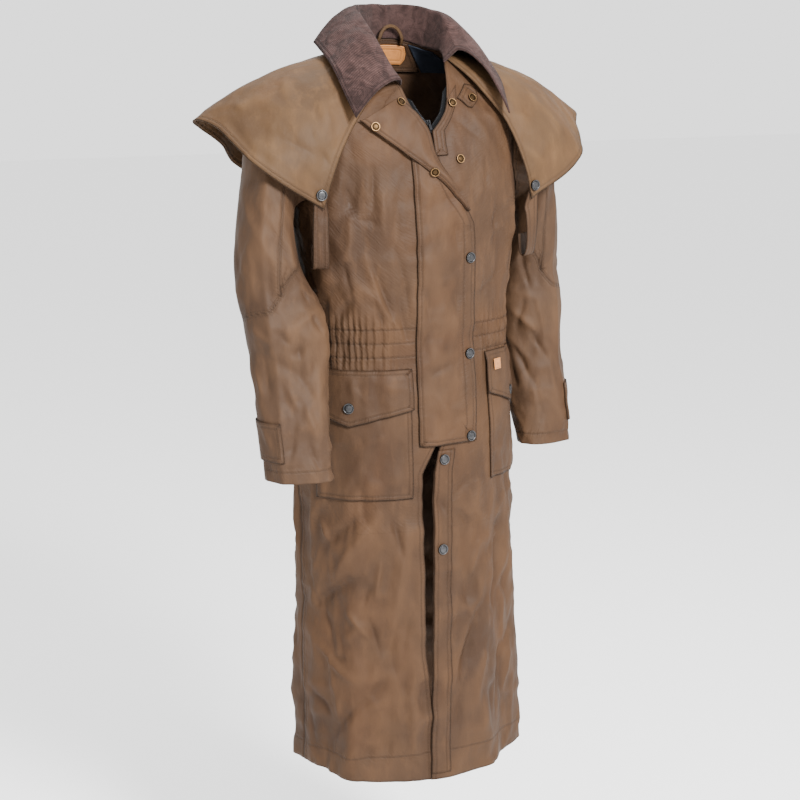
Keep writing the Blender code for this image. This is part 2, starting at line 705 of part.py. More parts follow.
def make_pocket(name, first, last, top, bottom, flap_top, flap_corner, flap_point, point_at):
    """A patch pocket and its pointed flap, between two angles round the body."""
    look = material("waxed_cotton", CLOTH_BODY, 0.55)
    rows = []
    for j in range(7):
        height = top + (bottom - top) * j / 6
        rows.append([on_body(first + (last - first) * i / 7, height, POCKET_LIFT) for i in range(8)])
    sheet(name, rows, BAND_WALL, look, outward=True)
    columns = 8
    rows = []
    for j in range(6):
        line = []
        for i in range(columns + 1):
            u = i / columns
            if u <= point_at:
                low = flap_corner + (flap_point - flap_corner) * u / point_at
            else:
                low = flap_corner + (flap_point - flap_corner) * (1 - u) / (1 - point_at)
            height = flap_top + (low - flap_top) * j / 5
            lift = POCKET_LIFT + LAYER + POCKET_FLAP_BOW * min(j, 2) if j else LIFT
            line.append(on_body(first - 1 + (last - first + 2) * u, height, lift))
        rows.append(line)
    sheet(name + "_flap", rows, BAND_WALL, look, outward=True)


def turned_disc(name, radius, look, centre, normal):
    """A snap cap: a cylinder with a bevelled top edge, standing on its place along a normal."""
    bpy.ops.mesh.primitive_cylinder_add(vertices=SNAP_SIDES, radius=radius, depth=SNAP_HEIGHT)
    made = bpy.context.object
    made.name = made.data.name = name
    bpy.context.collection.objects.unlink(made)
    bpy.data.collections["duster_coat"].objects.link(made)
    normal = np.array(normal, dtype=float)
    direction = tuple(normal / np.linalg.norm(normal))
    middle = tuple(np.array(centre) + np.array(direction) * SNAP_HEIGHT / 2)
    made.rotation_mode = "QUATERNION"
    made.rotation_quaternion = Vector(direction).to_track_quat("Z", "Y")
    made.location = middle
    made.data.materials.append(look)
    edge = made.modifiers.new("edge", "BEVEL")
    edge.width = SNAP_HEIGHT / 4
    edge.segments = 1
    edge.limit_method = "ANGLE"
    return made


def body_disc(name, x, height, lift, radius, look):
    """A snap cap on the front of the body."""
    place = on_front(x, height, lift)
    step = 0.004
    across = on_front(x + step, height, lift) - on_front(x - step, height, lift)
    down = on_front(x, height - step, lift) - on_front(x, height + step, lift)
    return turned_disc(name, radius, look, place, np.cross(down, across))


def grid_disc(name, point, a, b, lift, radius, look):
    """A snap cap on a sheet given by a function of two values and a lift."""
    place = point(a, b)
    one_way = point(a + 0.05, b) - place
    other_way = point(a, b + 0.01) - place
    normal = np.cross(one_way, other_way)
    normal = normal / np.linalg.norm(normal)
    if np.dot(normal[:2], place[:2]) < 0:
        normal = -normal
    return turned_disc(name, radius, look, place + normal * lift, normal)


def make_snaps():
    silver = material("snap_silver", SILVER, 0.35, 1.0)
    brass = material("snap_brass", BRASS, 0.4, 1.0)
    on_flap = FLAP_LIFT + BAND_WALL + SNAP_GAP
    flap_snaps = ((-0.331, 0.0600), (-0.498, 0.0610), (-0.642, 0.0590))
    for number, (height, x) in enumerate(flap_snaps, 1):
        body_disc(f"snap_flap_{number}", x, height, on_flap, SNAP_RADIUS, silver)
    on_band = LIFT + BAND_WALL + SNAP_GAP
    for number, (height, x) in enumerate(((-0.678, 0.0050), (-0.838, -0.0020)), 1):
        body_disc(f"snap_skirt_{number}", x, height, on_band, SNAP_RADIUS, silver)
    for number, (at, share) in enumerate(((0.80, 0.90), (3.50, 0.78), (0.25, 0.10)), 1):
        grid_disc(f"snap_turned_{number}", turned_point, at, share, BAND_WALL + SNAP_GAP, STUD_RADIUS, brass)
    for name, row, x, lift in (("snap_placket", 0.90, 0.0520, on_band), ("snap_throat", 1.42, 0.0955, on_band)):
        normal = body_normal(row, angle_at_x(row, x))
        turned_disc(name, STUD_RADIUS, brass, by_row(row, x, lift + 0.0004), normal)
    body_disc("stud_left", 0.0500, -0.165, SNAP_GAP, STUD_RADIUS, brass)
    for name, side in (("snap_cape_right", -1), ("snap_cape_left", 1)):
        place, normal = cape_corner(side, 0.42, 0.42)
        turned_disc(name, SNAP_RADIUS, silver, place + normal * (WALL + SNAP_GAP), normal)
    on_pocket = POCKET_LIFT + LAYER + POCKET_FLAP_BOW * 2 + BAND_WALL + SNAP_GAP
    for name, angle, height in (("snap_pocket_right", 222.0, -0.580), ("snap_pocket_left", 325.0, -0.580)):
        point = on_body(angle, height, on_pocket)
        turned_disc(name, SNAP_RADIUS, silver, point, body_normal(row_at(angle, height), angle))


def make_cuff_tab(name, side):
    """A cuff tab wrapped round the outer side of a sleeve, above its hem."""
    rows = []
    for j in range(6):
        section = 7.68 + (9.10 - 7.68) * j / 5
        line = [sleeve_point(side, section, -14.0 + 88.0 * i / 5, 0.0010 + 0.0004 * j) for i in range(6)]
        rows.append(line if side < 0 else line[::-1])
    sheet(name, rows, BAND_WALL, material("waxed_cotton_sleeve", CLOTH_SLEEVE, 0.55), outward=True)


def make_cape_strap(name, side):
    """A strap that hangs from a front corner of the cape and is turned back up behind itself."""
    path = (
        # x, y, z
        (-0.2035, -0.1055, -0.246),
        (-0.2045, -0.1065, -0.264),
        (-0.2050, -0.1070, -0.292),
        (-0.2040, -0.1060, -0.318),
        (-0.2030, -0.1020, -0.334),
        (-0.2020, -0.0960, -0.339),
        (-0.2010, -0.0905, -0.334),
        (-0.2000, -0.0880, -0.320),
        (-0.1990, -0.0870, -0.302),
    )
    top = []
    for share in (0.05, 0.45, 0.85):
        place, normal = cape_corner(-1, 0.9 - share, 0.5)
        top.append(place - normal * (BAND_WALL + STRAP_GAP))
    rows = [top]
    for step, (x, y, z) in enumerate(path):
        middle = np.array((x, y, z))
        lean = min(step / 3, 1.0)
        across = np.array((1.0 - 0.1 * lean, -0.42 * lean, -0.5 * (1 - lean))) * (STRAP_WIDTH / 2)
        rows.append([middle + across * share for share in (-1.0, 0.0, 1.0)])
    for number, line in enumerate(rows):
        if side > 0:
            rows[number] = [point * np.array((-1.0, 1.0, 1.0)) for point in line[::-1]]
    sheet(name, rows, BAND_WALL, material("waxed_cotton", CLOTH_BODY, 0.55), outward=True)


def make_throat_tab():
    outline = (
        # row, left x, right x
        (0.90, 0.066, 0.090),
        (1.15, 0.074, 0.102),
        (1.40, 0.080, 0.110),
        (1.55, 0.084, 0.112),
        (1.70, 0.092, 0.106),
    )
    rows = []
    for row, left, right in outline:
        rows.append([by_row(row, left + (right - left) * i / 4, LIFT + 0.0002) for i in range(5)])
    sheet("throat_tab", rows, BAND_WALL, material("waxed_cotton", CLOTH_BODY, 0.55), outward=True)


def inside_back(name, edges, columns, depth, thickness, look):
    """A piece inside the back of the neck: rows of body row, first and last angle, at a depth inside."""
    rows = []
    for row, first, last in edges:
        line = []
        for i in range(columns + 1):
            angle = first + (last - first) * i / columns
            line.append(body_point(row, angle) - body_normal(row, angle) * (depth + thickness))
        rows.append(line)
    return sheet(name, rows, thickness, look, outward=True)


def make_neck_pieces():
    tan = material("waxed_cotton", CLOTH_BODY, 0.55)
    facing = tuple((0.08 + 0.30 * j, 60.0, 150.0) for j in range(6))
    inside_back("back_neck_facing", facing, 10, FACING_DEPTH, BAND_WALL, tan)
    lining = tuple((0.08 + 0.30 * j, 14.0, 58.5) for j in range(6))
    inside_back("lining_neck", lining, 6, FACING_DEPTH, BAND_WALL, material("lining", BLACK, 0.5))
    patch = ((0.22, 66.0, 112.0), (0.55, 67.0, 111.0), (0.88, 70.0, 107.0), (1.16, 75.0, 102.0))
    depth = FACING_DEPTH + BAND_WALL + 0.0007
    inside_back("leather_patch", patch, 6, depth, BAND_WALL, material("leather", LEATHER, 0.5))
    make_hanging_loop(tan)


def make_hanging_loop(look):
    """A narrow loop of cloth that stands in an arch above the facing."""
    curve = bpy.data.curves.new("hanging_loop", "CURVE")
    curve.dimensions = "3D"
    curve.bevel_depth = LOOP_RADIUS
    curve.bevel_resolution = 2
    curve.use_fill_caps = True
    spline = curve.splines.new("POLY")
    count = 14
    spline.points.add(count)
    for i in range(count + 1):
        turn = math.pi * i / count
        side, rise = math.cos(turn), math.sin(turn)
        x = LOOP_X - LOOP_HALF_WIDTH * side
        y = LOOP_FOOT_Y + 0.0005 * side - LOOP_FORWARD * min(rise / 0.35, 1.0)
        z = LOOP_FOOT_Z + 0.0007 * side + LOOP_RISE * rise
        spline.points[i].co = (x, y, z, 1.0)
    made = bpy.data.objects.new("hanging_loop", curve)
    bpy.data.collections["duster_coat"].objects.link(made)
    curve.materials.append(look)


def make_label():
    """The small bare leather tab on the front edge of the left pocket flap."""
    rows = []
    for j in range(3):
        height = -0.515 - 0.019 * j / 2
        lift = POCKET_LIFT + LAYER * 2 + POCKET_FLAP_BOW * 2
        rows.append([on_body(303.5 + 6.5 * i / 2, height, lift) for i in range(3)])
    sheet("leather_label", rows, 0.0012, material("leather", LEATHER, 0.5), outward=True)


def add_box(name, size, centre, group):
    """A box by its size and centre in its own frame, with its origin left at the frame's origin."""
    bpy.ops.mesh.primitive_cube_add(size=1.0)
    made = bpy.context.object
    made.name = made.data.name = name
    for vertex in made.data.vertices:
        vertex.co = Vector([vertex.co[axis] * size[axis] + centre[axis] for axis in range(3)])
    for owner in list(made.users_collection):
        owner.objects.unlink(made)
    bpy.data.collections[group].objects.link(made)
    return made


def apply_boolean(target, cutter, operation):
    step = target.modifiers.new(operation.lower(), "BOOLEAN")
    step.operation = operation
    step.object = cutter
    cutter.hide_render = True
    cutter.display_type = "WIRE"


def make_slider():
    """The zip's slider with its bridge, and the pull that swings on the bridge about an axis along X."""
    black = material("zip_metal", BLACK, 0.4, 0.6)
    base = on_front(SLIDER_X, SLIDER_Z, 0.0)
    up_row = on_front(SLIDER_X, SLIDER_Z + 0.006, 0.0) - on_front(SLIDER_X, SLIDER_Z - 0.006, 0.0)
    lean = math.atan2(-up_row[1], up_row[2])
    face = -SLIDER_DEPTH / 2
    slider = add_box("zip_slider", (SLIDER_WIDTH, SLIDER_DEPTH, SLIDER_HEIGHT), (0.0, 0.0, 0.0), "duster_coat")
    bridge = add_box("cut_bridge", (BRIDGE_WIDTH, 0.0034, 0.0062), (0.0, face - 0.0012, 0.0), "cutters")
    hole = add_box("cut_bridge_hole", (BRIDGE_WIDTH * 2, 0.0019, 0.0040), (0.0, face - 0.00095, 0.0), "cutters")
    apply_boolean(slider, bridge, "UNION")
    apply_boolean(slider, hole, "DIFFERENCE")
    place = Vector(base) + Vector((0.0, 0.0011, 0.0))
    for item in (slider, bridge, hole):
        item.location = place
        item.rotation_euler = (lean, 0.0, 0.0)
    slider.data.materials.append(black)
    axis = place + Vector((0.0, (face - 0.00095) * math.cos(lean), (face - 0.00095) * math.sin(lean)))
    middle = (0.0, 0.0, PULL_LENGTH / 2 - 0.0005)
    pull = add_box("zip_pull", (PULL_WIDTH, 0.0010, PULL_LENGTH), middle, "duster_coat")
    eye = add_box("cut_pull_eye", (0.0026, 0.0030, 0.0036), (0.0, 0.0, 0.0005 + 0.0018), "cutters")
    apply_boolean(pull, eye, "DIFFERENCE")
    for item in (pull, eye):
        item.location = axis
        item.rotation_euler = (lean + math.radians(PULL_REST), 0.0, 0.0)
    pull.data.materials.append(black)


def make_collections():
    for name in ("duster_coat", "cutters"):
        group = bpy.data.collections.get(name) or bpy.data.collections.new(name)
        if name not in bpy.context.scene.collection.children:
            bpy.context.scene.collection.children.link(group)


def main():
    remove_all()
    make_collections()
    make_body()
    make_sleeve("sleeve_right", -1)
    make_sleeve("sleeve_left", 1)
    make_cape()
    make_collar()
    make_storm_flap()
    make_front_bands()
    make_pocket("pocket_right", 197, 257, -0.545, -0.742, -0.516, -0.586, -0.612, 0.42)
    make_pocket("pocket_left", 299, 343, -0.530, -0.727, -0.500, -0.572, -0.599, 0.55)
    make_label()
    make_throat_tab()
    make_cuff_tab("cuff_tab_right", -1)
    make_cuff_tab("cuff_tab_left", 1)
    make_cape_strap("cape_strap_right", -1)
    make_cape_strap("cape_strap_left", 1)
    make_neck_pieces()
    make_slider()
    make_snaps()


main()
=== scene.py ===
"""Looks for a riding duster coat in waxed cotton: a thin sewn shell for each piece, its snaps and its zip."""
import math

import bmesh
import bpy
import numpy as np
from mathutils import Matrix, Vector


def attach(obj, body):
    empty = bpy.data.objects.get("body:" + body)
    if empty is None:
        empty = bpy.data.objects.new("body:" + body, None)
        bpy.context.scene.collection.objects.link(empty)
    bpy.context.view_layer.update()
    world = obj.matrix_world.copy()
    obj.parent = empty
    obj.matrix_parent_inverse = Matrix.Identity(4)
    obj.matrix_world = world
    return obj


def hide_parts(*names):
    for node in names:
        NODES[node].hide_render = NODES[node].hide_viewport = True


bl_info = {
    "name": "Duster Coat Looks",
    "version": (1, 0, 0),
    "blender": (4, 5, 0),
    "location": "View3D > Sidebar > Duster Coat",
    "description": "Builds the cloth, sewing, snaps and zip of a waxed-cotton duster coat on its fixed frame",
    "category": "Object",
}

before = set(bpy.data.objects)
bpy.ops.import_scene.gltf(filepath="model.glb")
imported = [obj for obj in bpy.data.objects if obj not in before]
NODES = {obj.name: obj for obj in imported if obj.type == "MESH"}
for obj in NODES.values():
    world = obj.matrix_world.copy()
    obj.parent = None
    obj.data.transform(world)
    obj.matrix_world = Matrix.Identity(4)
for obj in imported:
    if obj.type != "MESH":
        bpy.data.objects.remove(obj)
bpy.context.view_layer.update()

# Sizes in metres, as on the solids
SEAM_GAP, LIFT = 0.0004, 0.0008
FLAP_X_SEAM, FLAP_X_FREE = -0.043, 0.072
FLAP_Z_TOP, FLAP_Z_ROLL, FLAP_Z_BOTTOM = -0.118, -0.272, -0.652
BAND_Z_TOP, BAND_Z_BOTTOM, HEM_Z = -0.447, -0.495, -1.245
HEM_SWAY, SWAY_START, SKIRT_FOLD_START = 0.013, -0.56, -0.62
SQUARENESS = 0.87
SHOULDER_POINT, UNDERARM = 3, 6
BODY_RADIUS, SLEEVE_RADIUS, CAPE_RADIUS = 0.20, 0.064, 0.28   # turn degrees into metres round a piece
SECTION_LENGTH = 0.0555                                       # between two sections of a sleeve
# Sizes for the looks: creases, sewing, zip, straps, neck pieces, caps and stage
SIDE_OVERLAP, UNDERLAP = 0.004, 0.0022                        # back's side edges under the fronts: how far, how deep
CREASE_CELL = 0.002                                           # grid on which creases are laid out
BODY_CREASE_TOP, SLEEVE_CREASE_TOP = 0.04, 0.05               # laid-out cloth's start above z = 0 or section 0
CAPE_DEPTH = 0.30                                             # neck to hem, laid out
COLLAR_END, COLLAR_TURN = 33.0, 276.0                         # degrees: its left end before 0, and end to end
SKIRT_CREASE_GAIN = ((-0.8, -0.6), (1.45, 1.0))               # heights, and how much taller creases are there
FULL_CREASE = 0.0045                                          # a crease this tall gets the full painted highlight on its ridge, or the full painted shade in its trough
ON_TOP = 0.9                                                  # share of the cloth's creases that shows on a band
FAR = 1.0                                                     # distance to a seam or hem that a piece hasn't got
STITCH, SECOND_STITCH, SEAM_STITCH, STITCH_LENGTH = 0.0020, 0.0082, 0.0024, 0.0034
CORD_PITCH, CORDED_LENGTH = 0.0030, 0.62
TAPE_LIFT = -0.0014 - 0.0014 - 0.0010                         # zip tapes, from the body's outer face
STRAP_HALF_WIDTH = 0.0138
FACING_DEPTH, PATCH_DEPTH, FACING_WALL = 0.0026, 0.0049, 0.0016
CAP_HEIGHT, BRASS_WIDER, SILVER_WIDER = 0.0036, 1.25, 1.12
FLOOR_HEIGHT, CAMERA_TURN, CAMERA_DISTANCE, CAMERA_ANGLE = -1.62, -28.0, 3.1, 25.5

# Body, neck to hem: height at the sides, front and back, half width, depth of front and back
BODY_SECTIONS = (
    (0.014, -0.058, 0.034, 0.072, 0.078, 0.056), (-0.012, -0.090, -0.002, 0.118, 0.096, 0.076),
    (-0.033, -0.118, -0.038, 0.162, 0.109, 0.093), (-0.057, -0.148, -0.075, 0.202, 0.118, 0.104),
    (-0.105, -0.180, -0.116, 0.210, 0.127, 0.110), (-0.172, -0.224, -0.178, 0.213, 0.134, 0.115),
    (-0.242, -0.268, -0.246, 0.211, 0.138, 0.118), (-0.330, -0.336, -0.331, 0.203, 0.139, 0.118),
    (-0.430, -0.430, -0.430, 0.195, 0.136, 0.114), (-0.510, -0.510, -0.510, 0.193, 0.138, 0.115),
    (-0.610, -0.610, -0.610, 0.196, 0.144, 0.121), (-0.765, -0.765, -0.765, 0.199, 0.148, 0.128),
    (-0.925, -0.925, -0.925, 0.201, 0.152, 0.136), (-1.085, -1.085, -1.085, 0.203, 0.156, 0.143),
    (HEM_Z, -1.262, -1.240, 0.205, 0.160, 0.150),
)
# Half opening of the armhole in degrees, by row
ARMHOLE = ((3.0, 0.0), (3.3, 13.0), (3.75, 25.0), (4.3, 32.0), (4.85, 35.0), (5.35, 31.0), (5.75, 19.0), (6.0, 0.0))
# Front edges: height, x of the wearer's right one, which nears the left one at the hem, and of the left one
FRONT_EDGES = ((-0.058, -0.036, 0.060), (-0.090, -0.021, 0.036), (-0.118, -0.003, 0.003), (-0.640, -0.003, 0.003),
               (-0.700, -0.036, -0.016), (-1.030, -0.0386, -0.0266), (-1.120, -0.0270, -0.0294),
               (-1.262, -0.0285, -0.0340))
# Large folds: angle, height, drift in degrees a metre, half width in degrees, half length, height out
BODY_FOLDS = (
    (206, -0.330, -70, 7.0, 0.080, 0.0050), (224, -0.350, -95, 6.0, 0.090, 0.0055),
    (236, -0.300, -60, 7.0, 0.110, -0.0045), (318, -0.340, 80, 7.0, 0.090, 0.0050),
    (334, -0.360, 60, 6.5, 0.080, -0.0040), (150, -0.330, 70, 8.0, 0.100, 0.0060),
    (128, -0.360, 30, 7.5, 0.080, -0.0040), (96, -0.300, 10, 9.0, 0.110, 0.0050),
    (64, -0.350, -40, 7.5, 0.090, -0.0045), (34, -0.330, -70, 8.0, 0.100, 0.0060),
    (214, -0.620, 60, 8.0, 0.060, 0.0030), (322, -0.640, -60, 8.0, 0.060, 0.0035),
)
# Folds that hang in the skirt: angle at the hem, drift in degrees a metre, half width in degrees, depth at hem
SKIRT_FOLDS = (
    (12, 10, 8.0, 0.010), (38, -8, 9.0, -0.009), (63, 6, 8.0, 0.012), (90, 0, 9.0, -0.008), (116, -6, 8.0, 0.012),
    (143, 8, 9.0, -0.010), (168, -8, 8.0, 0.010), (199, 12, 8.0, -0.007), (219, 10, 7.5, 0.010),
    (241, 14, 7.5, -0.006), (293, -6, 7.5, 0.007), (312, -16, 7.5, -0.009), (333, -10, 8.0, 0.010),
)
# Turned-back part of the flap: height and x at its roll line, then at its free edge
TURNED_FLAP = (
    (-0.064, -0.047, -0.098, -0.128), (-0.090, -0.024, -0.118, -0.106), (-0.118, -0.005, -0.140, -0.076),
    (-0.160, 0.003, -0.168, -0.036), (-0.200, 0.025, -0.206, 0.012), (-0.250, 0.057, -0.251, 0.052),
)
# Sleeves: centre out, along Y and up, half length out and forward, turn and tilt in degrees
SLEEVE_RIGHT = (
    (0.2400, -0.004, -0.166, 0.0900, 0.0760, 0, 78), (0.2570, -0.014, -0.212, 0.0880, 0.0745, 6, 69),
    (0.2620, -0.024, -0.262, 0.0830, 0.0720, 12, 58), (0.2640, -0.040, -0.316, 0.0780, 0.0670, 19, 41),
    (0.2630, -0.060, -0.374, 0.0750, 0.0600, 25, 20), (0.2600, -0.079, -0.432, 0.0715, 0.0530, 28, 8),
    (0.2570, -0.089, -0.490, 0.0670, 0.0480, 28, 2), (0.2580, -0.102, -0.548, 0.0620, 0.0440, 28, 0),
    (0.2590, -0.114, -0.600, 0.0585, 0.0410, 28, 0), (0.2600, -0.124, -0.645, 0.0565, 0.0390, 28, 0),
    (0.2600, -0.132, -0.684, 0.0550, 0.0380, 28, 0),
)
SLEEVE_LEFT = (
    (0.2400, 0.000, -0.166, 0.0890, 0.0750, 0, 78), (0.2540, 0.004, -0.212, 0.0840, 0.0710, 0, 69),
    (0.2600, 0.008, -0.262, 0.0760, 0.0680, 0, 58), (0.2630, 0.012, -0.316, 0.0660, 0.0660, 0, 41),
    (0.2650, 0.013, -0.374, 0.0580, 0.0640, 2, 20), (0.2670, 0.010, -0.432, 0.0560, 0.0600, 6, 8),
    (0.2695, 0.004, -0.490, 0.0550, 0.0560, 10, 2), (0.2725, -0.004, -0.548, 0.0545, 0.0520, 14, 0),
    (0.2775, -0.013, -0.604, 0.0540, 0.0480, 17, 0), (0.2820, -0.022, -0.652, 0.0540, 0.0440, 20, 0),
    (0.2850, -0.030, -0.695, 0.0540, 0.0410, 20, 0),
)
# Large folds of a sleeve: section, angle, half width in degrees, half length in sections, height out
SLEEVE_FOLDS = (
    (3.0, 70, 34, 0.70, 0.0060), (4.2, 110, 40, 0.60, -0.0060), (5.2, 60, 38, 0.60, 0.0060),
    (4.6, 250, 40, 0.70, 0.0070), (6.3, 140, 40, 0.60, -0.0050), (7.4, 40, 42, 0.65, 0.0045),
    (7.0, 260, 44, 0.70, -0.0050), (2.0, 124, 46, 1.10, 0.0150),
)
# Cape, wearer's right and back: angle, hem x, y, z, and the point that its cloth is drawn towards
CAPE_SECTIONS = (
    (238, -0.2010, -0.1140, -0.240, -0.168, -0.127, -0.092), (222, -0.2620, -0.1120, -0.205, -0.190, -0.118, -0.066),
    (205, -0.3180, -0.0780, -0.155, -0.225, -0.072, -0.030), (188, -0.3600, -0.0200, -0.106, -0.245, -0.020, -0.008),
    (172, -0.3600, 0.0350, -0.100, -0.245, 0.030, -0.004), (152, -0.3060, 0.1020, -0.138, -0.212, 0.096, -0.002),
    (132, -0.2360, 0.1460, -0.186, -0.160, 0.146, -0.012), (110, -0.1240, 0.1680, -0.252, -0.080, 0.165, -0.030),
    (90, 0.0000, 0.1740, -0.285, 0.000, 0.170, -0.040),
)
CAPE_NECK = ((238, 230), (180, 180), (0, 0), (-58, -25))
CAPE_WAVE = 0.009
# Collar: angle, roll x, y and z, outer edge x, y and z
COLLAR_SECTIONS = (
    (243, -0.0440, -0.0850, -0.0350, -0.1480, -0.1260, -0.0930),
    (228, -0.0570, -0.0710, -0.0090, -0.1560, -0.1080, -0.0620),
    (207, -0.0710, -0.0420, 0.0360, -0.1580, -0.0580, -0.0110),
    (182, -0.0790, -0.0060, 0.0720, -0.1540, 0.0000, 0.0180),
    (156, -0.0720, 0.0260, 0.0840, -0.1360, 0.0520, 0.0280), (128, -0.0490, 0.0500, 0.0890, -0.0880, 0.0960, 0.0240),
    (90, 0.0000, 0.0600, 0.0900, 0.0000, 0.1160, 0.0220), (52, 0.0490, 0.0500, 0.0880, 0.0880, 0.0960, 0.0165),
    (24, 0.0730, 0.0240, 0.0820, 0.1340, 0.0500, 0.0010), (-2, 0.0800, -0.0100, 0.0680, 0.1520, -0.0060, 0.0020),
    (-19, 0.0830, -0.0330, 0.0370, 0.1580, -0.0640, -0.0290),
    (-33, 0.0820, -0.0540, 0.0140, 0.1470, -0.1220, -0.0900),
)
# Creases placed on the body: angle and height of each end, half width and height out, both in metres
BODY_CREASES = (
    (224.5, -0.205, 232, -0.26, 0.007, -0.005), (232, -0.26, 242.5, -0.265, 0.006, -0.004),
    (237, -0.33, 249.5, -0.44, 0.0065, -0.0055), (234, -0.32, 246, -0.435, 0.009, 0.005),
    (230.5, -0.375, 244, -0.41, 0.007, 0.0055), (244, -0.41, 254, -0.46, 0.006, 0.005),
    (250.5, -0.305, 257.5, -0.43, 0.006, -0.0045), (215.5, -0.405, 230.5, -0.375, 0.008, 0.0055),
    (241.5, -0.175, 240, -0.27, 0.007, -0.0045), (221, -0.33, 226.5, -0.395, 0.008, -0.0045),
    (227.5, -0.25, 225, -0.33, 0.009, 0.004), (245.5, -0.21, 246, -0.3, 0.008, 0.0035),
    (210.5, -0.435, 226.5, -0.4, 0.006, -0.004), (253.5, -0.21, 251.5, -0.295, 0.006, -0.0028),
    (244.5, -0.445, 236.5, -0.385, 0.005, -0.003), (208.5, -0.885, 240, -0.765, 0.011, 0.006),
    (200, -0.835, 231, -0.765, 0.008, -0.005), (253.5, -0.795, 245, -0.955, 0.011, 0.005),
    (187.5, -0.95, 226, -0.88, 0.009, -0.005), (231, -0.955, 237.5, -1.02, 0.007, -0.0042),
    (204.5, -1.175, 231.5, -1.095, 0.01, -0.006), (231.5, -1.095, 241, -1.065, 0.009, -0.005),
    (192.5, -1.01, 224, -1.07, 0.008, 0.005), (199, -1.035, 220.5, -1.03, 0.005, -0.0035),
    (255.5, -1.025, 254.5, -1.21, 0.012, 0.005), (232.5, -0.895, 228, -0.925, 0.005, -0.0035),
    (218, -0.94, 231.5, -0.99, 0.006, 0.004), (187.5, -1.105, 204, -1.135, 0.007, -0.004),
    (220, -1.125, 247, -1.105, 0.012, 0.0045), (245, -0.77, 251.5, -0.85, 0.006, -0.0035),
    (239.5, -0.845, 235, -0.92, 0.006, 0.0035), (199, -0.785, 208, -0.825, 0.007, 0.0042),
    (291.5, -0.935, 274, -1.105, 0.011, -0.0065), (274, -1.105, 273, -1.185, 0.01, -0.006),
    (284.5, -0.955, 271, -1.09, 0.01, 0.005), (267.5, -0.74, 271, -0.775, 0.005, -0.0035),
    (276, -0.77, 285.5, -0.81, 0.006, -0.004), (309, -0.815, 296.5, -0.99, 0.009, -0.0055),
    (275.5, -0.965, 273, -0.99, 0.005, -0.003), (291.5, -1.02, 285, -1.13, 0.009, 0.005),
    (308.5, -1.04, 298, -1.18, 0.008, -0.005), (283, -0.72, 273.5, -0.75, 0.006, -0.004),
    (288.5, -0.835, 282, -0.905, 0.007, 0.004), (270.5, -0.86, 272.5, -0.935, 0.006, -0.003),
    (277.5, -0.225, 278.5, -0.295, 0.008, 0.004), (268.5, -0.21, 277, -0.245, 0.007, -0.004),
    (277, -0.245, 277.5, -0.32, 0.008, -0.005), (279, -0.275, 286, -0.285, 0.004, -0.003),
    (251.5, -0.38, 256.5, -0.485, 0.006, -0.004), (267.5, -0.445, 261, -0.505, 0.006, -0.0035),
    (278.5, -0.375, 278.5, -0.45, 0.007, -0.0042), (296.5, -0.3, 313, -0.28, 0.006, 0.004),
    (290, -0.405, 311.5, -0.36, 0.006, -0.0035), (275, -0.51, 266.5, -0.53, 0.006, -0.0038),
    (276.5, -0.62, 269.5, -0.64, 0.006, -0.004), (266, -0.315, 270, -0.4, 0.008, 0.0036),
    (264, -0.37, 267, -0.45, 0.006, -0.0034), (272, -0.4, 270.5, -0.48, 0.007, 0.0034),
    (268.5, -0.56, 273, -0.61, 0.006, 0.0035), (297.5, -0.185, 289.5, -0.26, 0.007, -0.0035),
    (304.5, -0.22, 304, -0.325, 0.008, -0.004), (294, -0.33, 293, -0.405, 0.007, 0.0038),
    (333, -0.3, 322, -0.43, 0.009, 0.005), (170, -0.25, 162, -0.42, 0.013, 0.0063),
    (150, -0.2, 140, -0.4, 0.015, -0.0065), (128, -0.23, 137, -0.43, 0.012, 0.0063),
    (112, -0.15, 104, -0.33, 0.016, -0.005), (98, -0.28, 108, -0.43, 0.01, 0.0055),
    (84, -0.2, 78, -0.42, 0.014, 0.0057), (66, -0.18, 74, -0.33, 0.015, -0.0057),
    (52, -0.26, 44, -0.43, 0.012, 0.006), (30, -0.24, 40, -0.4, 0.012, -0.0055),
    (12, -0.3, 4, -0.43, 0.01, 0.0055), (180, -0.6, 174, -0.9, 0.014, 0.0057),
    (158, -0.65, 166, -1, 0.016, -0.0065), (140, -0.56, 147, -0.85, 0.013, 0.0063),
    (124, -0.7, 117, -1.1, 0.016, 0.006), (108, -0.56, 113, -0.82, 0.012, -0.0052),
    (92, -0.62, 86, -1.02, 0.015, 0.0063), (74, -0.56, 80, -0.8, 0.012, -0.005),
    (58, -0.66, 65, -1.05, 0.016, 0.0063), (40, -0.6, 34, -0.92, 0.013, -0.0057),
    (22, -0.62, 27, -0.98, 0.014, 0.0063), (6, -0.7, 0, -1.1, 0.014, -0.006),
    (100, -0.9, 96, -1.2, 0.014, -0.0055), (150, -0.98, 144, -1.21, 0.013, 0.0052),
    (46, -0.96, 52, -1.2, 0.013, 0.0052),
)
